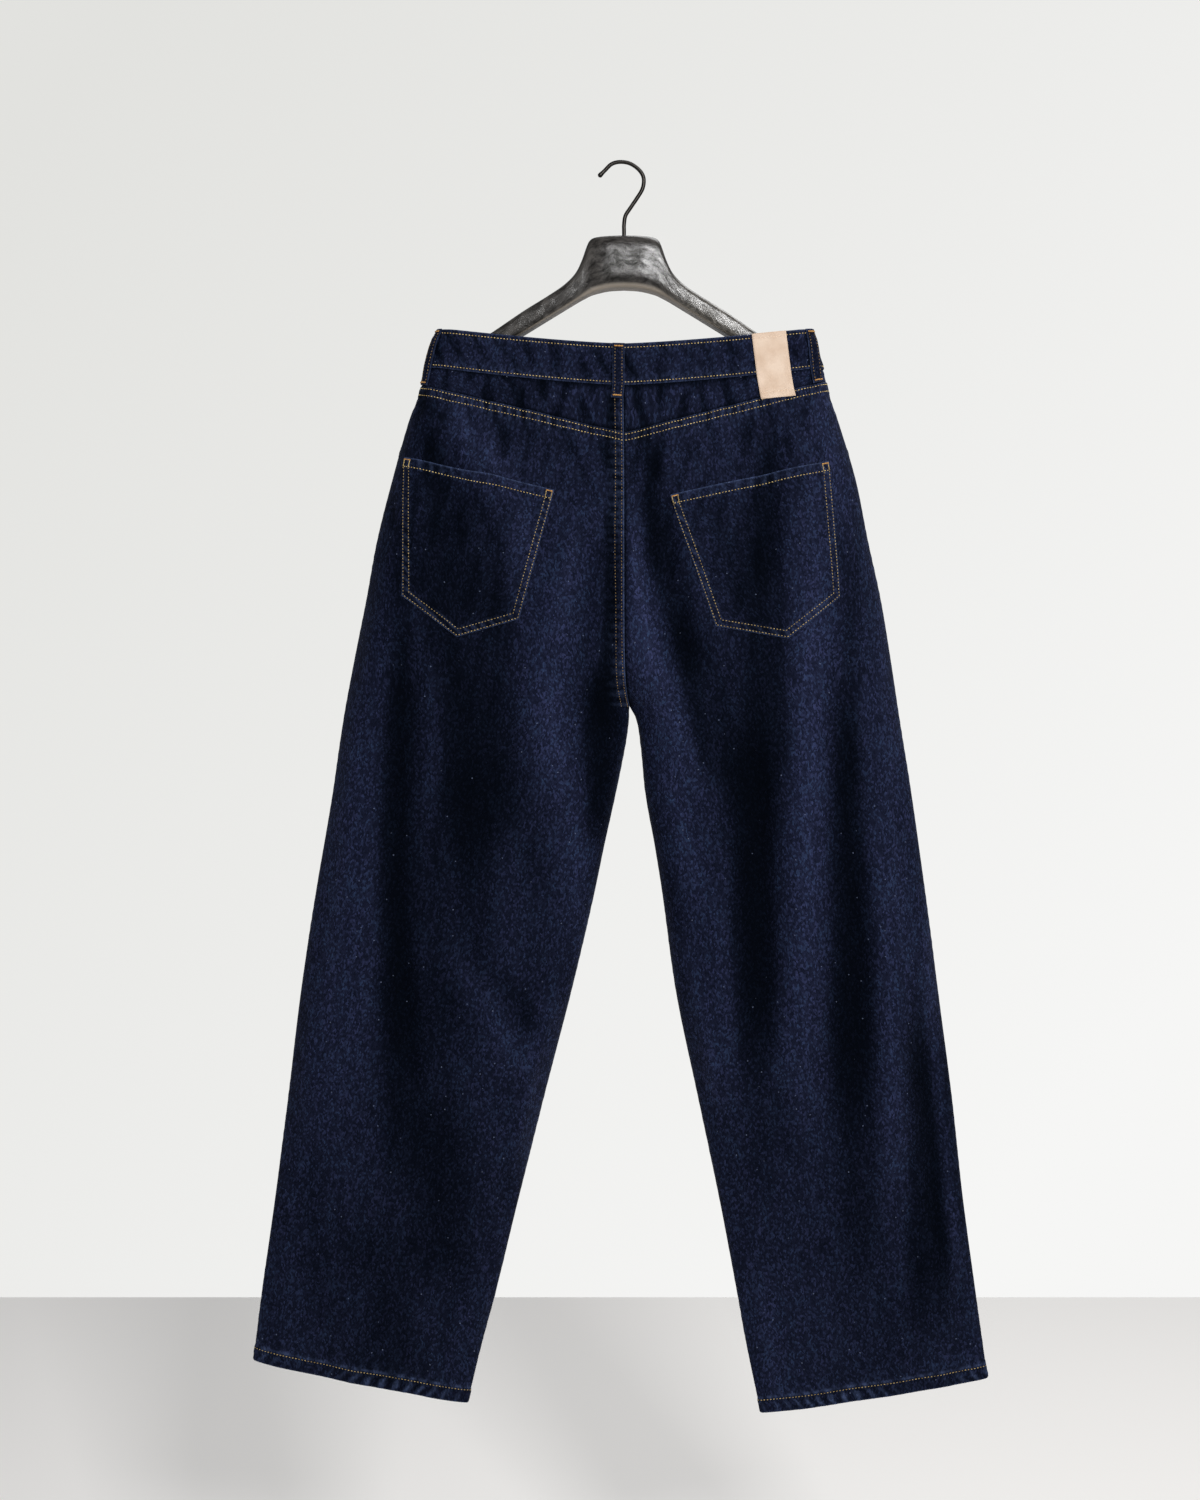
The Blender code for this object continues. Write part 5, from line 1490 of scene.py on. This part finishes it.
def arm_sections(side):
    """Sections of one arm from the middle out, ending in a rounded tip."""
    last = ARM[-1]
    slope = (ARM[-1].bottom - ARM[-2].bottom) / (ARM[-1].x - ARM[-2].x)
    z = (last.top + last.bottom) / 2 + slope * ARM_TIP_LENGTH
    wall = abs(float(read(SIDE_SEAMS, side_name(side), z)) - HANGER_MIDDLE)
    length = wall - DENIM - SEAM_GAP - last.x
    sections, along = [], []
    for x in np.concatenate((np.arange(0, 64, 1.6), np.arange(64, last.x, 3.4))):
        top, bottom, thick = (float(read(ARM, column, x)) for column in
                              ("top", "bottom", "half_thick"))
        thick -= SHOULDER_EASE * float(smooth((x - SHOULDER_FROM) / SHOULDER_RUN))
        sections.append(hanger_section(HANGER_MIDDLE + side * x, top, bottom, thick))
        along.append(side * x)
    for angle in np.radians((0, 12, 24, 36, 47, 57, 66, 74, 81, 86, 89)):
        out, left = math.sin(angle) * length, math.cos(angle) ** 0.8
        middle = (last.top + last.bottom) / 2 + slope * out
        tall = (last.top - last.bottom) / 2 * left
        sections.append(hanger_section(HANGER_MIDDLE + side * (last.x + out), middle + tall,
                                       middle - tall, (last.half_thick - SHOULDER_EASE) * left))
        along.append(side * (last.x + out))
    return np.array(sections), np.array(along)


def build_hanger(wood, steel):
    left, left_along = arm_sections(LEFT)
    right, right_along = arm_sections(RIGHT)
    sections = np.concatenate((left[::-1], right[1:]))
    along = np.concatenate((left_along[::-1], right_along[1:]))
    rows, count = sections.shape[:2]
    middle = sections.mean(axis=1, keepdims=True)
    grain = np.stack((along[:, None] * 1.18 + 0 * sections[..., 0],
                      sections[..., 1], sections[..., 2] - middle[..., 2]), -1)
    angle = 2 * math.pi * (np.arange(count) + 0.5) / count
    # painted light from the floor on the downward faces
    under = smooth((-np.sin(angle) - 0.55) / 0.3) + 0 * along[:, None]
    # painted light on the right arm, the side that faces the key light
    painted_arm_light = smooth((along - 20) / 70)[:, None] + 0 * under
    body = make_mesh("hanger_body_wood", sections.reshape(-1, 3), tube_faces(rows, count), [wood],
                     marks={"under": under.ravel(), "painted_arm_light": painted_arm_light.ravel(),
                            "cloth": grain.reshape(-1, 3)}, sharp=55)
    dress(body, "hanger_body")

    line = list(HOOK_LINE) + [(HANGER_MIDDLE, -68.0), (HANGER_MIDDLE, ARM[0].top - SHANK_DEPTH)]
    tip = np.linspace(0, len(line) - 1, WIRE_RINGS)
    x, z = (curve_through(range(len(line)), [p[k] for p in line], tip) for k in (0, 1))
    along = unit(np.stack((np.gradient(x), np.gradient(z)), -1))
    swollen = 1 + 0.22 * hump((tip - 0.25) / 0.3)
    ball = np.sqrt(np.clip(1 - (1 - np.clip(tip / 0.22, 0, 1)) ** 2, 0.02, 1))
    radius = WIRE_RADIUS * swollen * ball
    turns = 2 * math.pi * np.arange(WIRE_SIDES) / WIRE_SIDES
    rings = np.stack((
        x[:, None] - along[:, 1:] * np.cos(turns) * radius[:, None],
        np.sin(turns) * radius[:, None],
        z[:, None] + along[:, :1] * np.cos(turns) * radius[:, None]), -1)
    hook = make_mesh("hanger_hook_wire", rings.reshape(-1, 3),
                     tube_faces(WIRE_RINGS, WIRE_SIDES), [steel], sharp=60)
    dress(hook, "hanger_hook")


# ---------------------------------------------------------------- more rows of stitches

def panel_row(side, face, t, c, above=THREAD_ABOVE):
    """A row of stitches along places on a finished panel."""
    return stitch_row(*on_panel(side, face, t, c, above))


def build_seam_stitches(bright, dull, faded):
    """Rows on the yoke seam, the rise, the pocket mouths and the hems."""
    yoke, rise, mouths, hems = [], [], [], []
    for side in (LEFT, RIGHT):
        for inset in FELL_ROWS:
            level = 2 + inset / LENGTHS[side, BACK, 2]
            yoke.append(panel_row(side, BACK, level, np.linspace(0.004, 0.997, 260)))
        for face in (BACK, FRONT):
            level = 5 - HEM_ROW / LENGTHS[side, face, 4]
            shares = (1 - np.cos(math.pi * np.linspace(0.012, 0.988, 300))) / 2
            hems.append(panel_row(side, face, level, shares, 0.06))
        for grown in MOUTH_ROWS:
            angles = np.linspace(mouth_top(side, grown), 0.02, 160)
            mouths.append(panel_row(side, FRONT,
                                    *find_place(side, FRONT, *mouth_curve(side, grown, angles))))
    below_fly = float(fly_rows()[-1]) + 0.01
    for inset in FELL_ROWS:
        for face, first, count in ((BACK, 1.02, 420), (FRONT, below_fly, 260)):
            levels = np.linspace(first, 3.97, count)
            shares = 1 - inset / width_at(LEFT, face, levels)
            rise.append(panel_row(LEFT, face, levels, shares))
    make_thread("yoke_stitches", yoke, bright, 71)
    make_thread("rise_stitches", rise, dull, 72)
    make_thread("pocket_mouth_stitches", mouths, bright, 73)
    make_thread("hem_stitches", hems, faded, 74)


# ---------------------------------------------------------------- materials

def linear(colour):
    """A hex colour in sRGB as linear red, green, blue and alpha."""
    channels = [int(colour[i:i + 2], 16) / 255 for i in (1, 3, 5)]
    return tuple(v / 12.92 if v <= 0.04045 else ((v + 0.055) / 1.055) ** 2.4
                 for v in channels) + (1.0,)


def add(tree, kind, settings=(), links=()):
    """A node with its settings (properties, or inputs by name or number) and its links. A link
    from a whole node takes its first output."""
    made = tree.nodes.new("ShaderNode" + kind)
    for key, value in dict(settings).items():
        if isinstance(key, str) and hasattr(made, key):
            setattr(made, key, value)
        else:
            made.inputs[key].default_value = value
    for key, source in dict(links).items():
        tree.links.new(getattr(source, "outputs", (source,))[0], made.inputs[key])
    return made


def new_material(name, viewport):
    material = bpy.data.materials.new(name)
    material.use_nodes = True
    material.node_tree.nodes.clear()
    material.diffuse_color = linear(viewport)
    return material, material.node_tree


def finish_material(material, settings, links):
    """The surface that ends every material here."""
    shader = add(material.node_tree, "BsdfPrincipled", settings, links)
    add(material.node_tree, "OutputMaterial", links={"Surface": shader})
    return material


def mixed(tree, share, first, second):
    """Two colours, sockets or hex, mixed by a share."""
    settings, links = {"data_type": "RGBA"}, {0: share}
    for key, colour in ((6, first), (7, second)):
        if isinstance(colour, str):
            settings[key] = linear(colour)
        else:
            links[key] = colour
    return add(tree, "Mix", settings, links).outputs[2]


GRAIN_WIDTH = 1.5      # mm: flecks where the pale weft shows between the blue warp threads,
GRAIN_LENGTH = 2.1     # which are really half this size and too fine to show
SLUB_WIDTH = 1.8       # mm: thick places in the warp threads
SLUB_LENGTH = 26.0
TWILL_PITCH = 1.9      # mm from one diagonal rib to the next; the real 1.1 mm is too fine to show
NEP_SPACING = 13.0     # mm between neps, the tiny knots of undyed cotton
NEP_SIZE = 0.45


def scaled(tree, place, across, along):
    """Places on the flat cloth counted in a pattern's own width and length in millimetres."""
    return add(tree, "VectorMath", {
        "operation": "MULTIPLY", 1: (1 / across, 1 / along, 1)}, {0: place})


def spread(tree, cloth, across, along, detail, roughness=0.6):
    """Noise on the flat cloth with features of a real width and length in millimetres."""
    return add(tree, "TexNoise", {"Scale": 1.0, "Detail": detail, "Roughness": roughness},
               {"Vector": scaled(tree, cloth, across, along)})


def ranged(tree, value, low, high, to_low, to_high):
    """A value between two limits carried over to two others."""
    return add(tree, "MapRange", {
        "From Min": low, "From Max": high, "To Min": to_low, "To Max": to_high},
        {"Value": value})


def times(tree, first, second, kind="MULTIPLY"):
    links = {k: v for k, v in enumerate((first, second)) if not isinstance(v, float)}
    settings = {k: v for k, v in enumerate((first, second)) if isinstance(v, float)}
    return add(tree, "Math", {"operation": kind, **settings}, links)


def make_denim(name, dark, mid, fleck, worn_colour, gloss):
    """Rinsed indigo denim, a 3/1 twill of blue warp over undyed weft. Its nap mark is partly raised
    nap and partly painted shade and highlight: the cloth is near black where the mark is low, in
    troughs and painted shadows, and where it is high it shows a fine blue-grey grain and a broad soft
    gloss; seams that rub are paler, and light that skims the fuzz lifts the edges."""
    material, tree = new_material(name, mid)
    cloth = add(tree, "Attribute", {"attribute_name": "cloth"}).outputs["Vector"]
    wear, nap_and_shade = (add(tree, "Attribute", {"attribute_name": name}).outputs["Fac"]
                 for name in ("wear", "nap_and_shade"))
    cells = scaled(tree, cloth, GRAIN_WIDTH, GRAIN_LENGTH)
    flecks = add(tree, "TexVoronoi", {"voronoi_dimensions": "2D", "Scale": 1.0}, {"Vector": cells})
    grain = times(tree, flecks.outputs["Color"], 1.0)
    slub = spread(tree, cloth, SLUB_WIDTH, SLUB_LENGTH, 3.0)
    cloud = spread(tree, cloth, 15, 34, 4.0, 0.65)
    ribs = add(tree, "VectorMath", {
        "operation": "DOT_PRODUCT",
        1: tuple(2 * math.pi / TWILL_PITCH * v for v in (0.88, 0.47, 0))}, {0: cloth})
    twill = add(tree, "Math", {"operation": "SINE"}, {0: ribs.outputs["Value"]})

    # the nap mark: painted shade in troughs and painted highlight on ridges, scaling the colour and
    # the gloss
    raised = times(tree, ranged(tree, nap_and_shade, 0.0, 2.0, 0.04, 2.5),
                   ranged(tree, cloud, 0.3, 0.7, 0.8, 1.18))
    raised = times(tree, raised, ranged(tree, slub, 0.3, 0.7, 0.85, 1.12))
    speckle = times(tree, ranged(tree, grain, 0.1, 0.9, 0.38, 1.05),
                    ranged(tree, twill, -1.0, 1.0, 0.9, 1.08))
    lively = times(tree, raised, ranged(tree, speckle, 0.4, 1.0, 0.75, 1.45))

    base = mixed(tree, times(tree, times(tree, speckle, 0.7), raised), dark, mid)
    fleck_share = times(tree, ranged(tree, grain, 0.55, 1.0, 0.0, 0.46), raised)
    tint = mixed(tree, ranged(tree, cloud, 0.42, 0.6, 0.0, 1.0), fleck, "#283A56")
    base = mixed(tree, fleck_share, base, tint)
    wear_and_painted_light = times(tree, wear, ranged(tree, grain, 0.2, 0.8, 0.45, 1.0))
    base = mixed(tree, wear_and_painted_light, base, worn_colour)
    nep_place = scaled(tree, cloth, NEP_SPACING, NEP_SPACING)
    neps = add(tree, "TexVoronoi", {"Scale": 1.0}, {"Vector": nep_place})
    edge = NEP_SIZE / NEP_SPACING
    base = mixed(tree, ranged(tree, neps, edge, edge * 1.8, 0.5, 0.0), base, "#66708A")

    fuzz = spread(tree, cloth, 1.7, 2.3, 2.0)
    height = times(tree, times(tree, twill, 0.2), fuzz, "ADD")
    height = times(tree, height, times(tree, slub, 0.7), "ADD")
    bump = add(tree, "Bump", {"Strength": 0.6, "Distance": 0.2 * MM}, {"Height": height})
    return finish_material(material, {
        "Roughness": 0.62, "IOR": 1.46, "Specular Tint": linear("#959FDC"),
        "Sheen Weight": 0.05, "Sheen Roughness": 0.35, "Sheen Tint": linear("#93A3CC")},
        {"Base Color": base, "Specular IOR Level": times(tree, lively, gloss), "Normal": bump})


def make_thread_material(name, dark, light):
    """Polyester-cotton topstitch thread: matt, two plies twisted, each stitch a little lighter
    or darker than the next."""
    material, tree = new_material(name, light)
    tone = add(tree, "Attribute", {"attribute_name": "tone"}).outputs["Fac"]
    return finish_material(material, {
        "Roughness": 0.62, "IOR": 1.5, "Specular IOR Level": 0.3, "Sheen Weight": 0.25,
        "Sheen Roughness": 0.4}, {"Base Color": mixed(tree, tone, dark, light)})


def make_leather():
    """Vegetable-tanned cowhide, undyed: warm pinkish beige, matt, with fine pores."""
    material, tree = new_material("undyed_veg_tan_leather", "#E3CDB8")
    place = add(tree, "TexCoord").outputs["Object"]
    clouds = add(tree, "TexNoise", {"Scale": 60.0, "Detail": 4.0}, {"Vector": place})
    pores = add(tree, "TexVoronoi", {"Scale": 900.0}, {"Vector": place})
    colour = mixed(tree, ranged(tree, clouds, 0.35, 0.7, 0.0, 1.0), "#BEA48D", "#CFB9A5")
    bump = add(tree, "Bump", {"Strength": 0.35, "Distance": 0.12 * MM}, {"Height": pores})
    return finish_material(material, {
        "Roughness": 0.58, "IOR": 1.48, "Specular IOR Level": 0.4},
        {"Base Color": colour, "Normal": bump})


def make_wood():
    """Charcoal-stained ash under satin lacquer: open grain runs along each arm, the light early wood
    shows grey through the stain. The right arm is painted paler with painted light, and the downward
    faces carry painted light from the floor."""
    material, tree = new_material("charcoal_stained_ash", "#3A3836")
    place = add(tree, "Attribute", {"attribute_name": "cloth"}).outputs["Vector"]
    under, painted_arm_light = (add(tree, "Attribute", {"attribute_name": name}).outputs["Fac"]
                      for name in ("under", "painted_arm_light"))
    bend = add(tree, "TexNoise", {"Scale": 0.03, "Detail": 2.0}, {"Vector": place})
    bent = add(tree, "VectorMath", {"operation": "MULTIPLY_ADD", 1: (24.0, 24.0, 24.0)},
               {0: bend.outputs["Color"], 2: place})
    grain, fine = (
        add(tree, "TexNoise", {"Scale": 1.0, "Detail": detail, "Roughness": roughness}, {
            "Vector": add(tree, "VectorMath", {"operation": "MULTIPLY", 1: density}, {0: bent})})
        for density, detail, roughness in (((0.045, 0.17, 0.17), 6.0, 0.65),
                                           ((0.3, 0.75, 0.75), 4.0, 0.7)))
    colour = mixed(tree, ranged(tree, grain, 0.36, 0.68, 0.0, 1.0), "#171615", "#423F3C")
    colour = mixed(tree, ranged(tree, fine, 0.5, 0.66, 0.0, 0.5), colour, "#0D0C0C")
    # painted light on the right arm, broken up by the pores
    wear_and_painted_light = times(tree, painted_arm_light, ranged(tree, fine, 0.35, 0.55, 0.55, 0.1))
    colour = mixed(tree, wear_and_painted_light, colour, "#8A857D")
    # painted light from the floor on the underside
    colour = mixed(tree, times(tree, under, 0.7), colour, "#A3998C")
    bump = add(tree, "Bump", {"Strength": 0.45, "Distance": 0.4 * MM, "invert": True},
               {"Height": fine})
    return finish_material(material, {"IOR": 1.5}, {
        "Base Color": colour, "Roughness": ranged(tree, fine, 0.35, 0.65, 0.17, 0.27),
        "Specular IOR Level": ranged(tree, grain, 0.4, 0.64, 0.15, 0.5), "Normal": bump})


def make_metal(name, colour, rough_low, rough_high, scale):
    """Cast or drawn metal under a thin dark finish, slightly uneven in its gloss."""
    material, tree = new_material(name, colour)
    place = add(tree, "TexCoord").outputs["Object"]
    cloud = add(tree, "TexNoise", {"Scale": scale, "Detail": 3.0}, {"Vector": place})
    return finish_material(material, {"Base Color": linear(colour), "Metallic": 1.0},
                           {"Roughness": ranged(tree, cloud, 0.0, 1.0, rough_low, rough_high)})


# ---------------------------------------------------------------- stage, light and camera

CAMERA_DISTANCE = 2.083      # metres: one pixel of the picture is then 1 mm at the garment
CAMERA_HEIGHT = -0.496
CAMERA_SIDE = -0.023
LENS_SHIFT = -0.06           # the camera is level and the picture reaches further down than up
FLOOR_HEIGHT = -1.696
FLOOR_BACK = 1.84            # the floor ends this far behind the garment


def aim(obj, target):
    obj.rotation_euler = (Vector(target) - obj.location).to_track_quat("-Z", "Y").to_euler()


def add_light(name, place, target, size, power):
    data = bpy.data.lights.new(name, "AREA")
    data.shape = "RECTANGLE"
    data.size, data.size_y = size
    data.energy = power
    light = put(name, data)
    light.location = place
    aim(light, target)


def build_stage():
    floor_mesh = bpy.data.meshes.new("floor")
    near, wide = -6.0, 7.0
    corners = [(-wide, near, FLOOR_HEIGHT), (wide, near, FLOOR_HEIGHT),
               (wide, FLOOR_BACK, FLOOR_HEIGHT), (-wide, FLOOR_BACK, FLOOR_HEIGHT)]
    floor_mesh.from_pydata(corners, [], [(0, 1, 2, 3)])
    floor_mesh.materials.append(finish_material(new_material("pale_floor", "#F2F0ED")[0], {
        "Base Color": linear("#F2F0ED"), "Roughness": 0.7}, {}))
    put("floor", floor_mesh)

    world = bpy.data.worlds.new("pale_studio")
    world.use_nodes = True
    tree = world.node_tree
    tree.nodes.clear()
    toward = add(tree, "TexCoord").outputs["Generated"]
    slope = add(tree, "VectorMath", {
        "operation": "DOT_PRODUCT", 1: (0.75, 0.0, -0.66)}, {0: toward})
    wall = mixed(tree, ranged(tree, slope.outputs["Value"], -0.35, 0.3, 0.0, 1.0),
                 "#E2E2DF", "#F6F6F5")
    seen = add(tree, "Background", {"Strength": 1.0}, {"Color": wall})
    cast = add(tree, "Background", {"Color": linear("#F4F5F8"), "Strength": 0.3})
    ray = add(tree, "LightPath")
    shader = add(tree, "MixShader", links={0: ray.outputs["Is Camera Ray"], 1: cast, 2: seen})
    add(tree, "OutputWorld", links={"Surface": shader})
    bpy.context.scene.world = world

    target = (0, 0, -0.7)
    add_light("key", (0.85, -3.5, 0.78), target, (0.6, 0.6), 120)
    add_light("floor_light", (1.0, 0.9, 1.9), (0.7, 0.8, FLOOR_HEIGHT), (2.6, 1.6), 72)

    data = bpy.data.cameras.new("camera")
    data.lens = 50
    data.sensor_width = 36
    camera = put("camera", data)
    camera.location = (CAMERA_SIDE, -CAMERA_DISTANCE, CAMERA_HEIGHT)
    aim(camera, (CAMERA_SIDE, 0, CAMERA_HEIGHT))
    data.shift_y = LENS_SHIFT
    bpy.context.scene.camera = camera
    bpy.context.scene.view_settings.view_transform = "Standard"


# ---------------------------------------------------------------- build

DENIM_FACE = make_denim("rinsed_indigo_denim", "#030509", "#1A1E33", "#363C60", "#3C4866", 0.085)
DENIM_REVERSE = make_denim("denim_reverse", "#4E566A", "#6F788C", "#A9AFBB", "#8A93A5", 0.2)
GOLD_THREAD = make_thread_material("gold_topstitch_thread", "#93793C", "#D8BF7E")
SIDE_THREAD = make_thread_material("faded_gold_topstitch_thread", "#735F34", "#AE9762")
BROWN_THREAD = make_thread_material("brown_gold_topstitch_thread", "#4E3D20", "#846B40")
ORANGE_THREAD = make_thread_material("orange_tack_thread", "#98682F", "#C49650")
BEIGE_THREAD = make_thread_material("beige_patch_thread", "#CDB196", "#E6D2BD")
LEATHER = make_leather()
BRASS = make_metal("antiqued_brass", "#9A7B4C", 0.32, 0.5, 400.0)
BLACK_STEEL = make_metal("black_nickel_steel_wire", "#2A2826", 0.3, 0.38, 30.0)
WOOD = make_wood()

build_stage()
cloth = [DENIM_FACE, DENIM_REVERSE]
build_yokes(cloth)
build_back_legs(cloth)
build_front_legs(cloth)
build_facings(cloth)
build_back_pockets(cloth, GOLD_THREAD, SIDE_THREAD, ORANGE_THREAD)
build_fly(cloth, GOLD_THREAD, ORANGE_THREAD)
build_waistband(cloth, GOLD_THREAD)
build_loops(cloth, BROWN_THREAD, ORANGE_THREAD)
build_patch(LEATHER, BEIGE_THREAD)
build_button(BRASS)
build_hanger(WOOD, BLACK_STEEL)
build_seam_stitches(GOLD_THREAD, BROWN_THREAD, SIDE_THREAD)
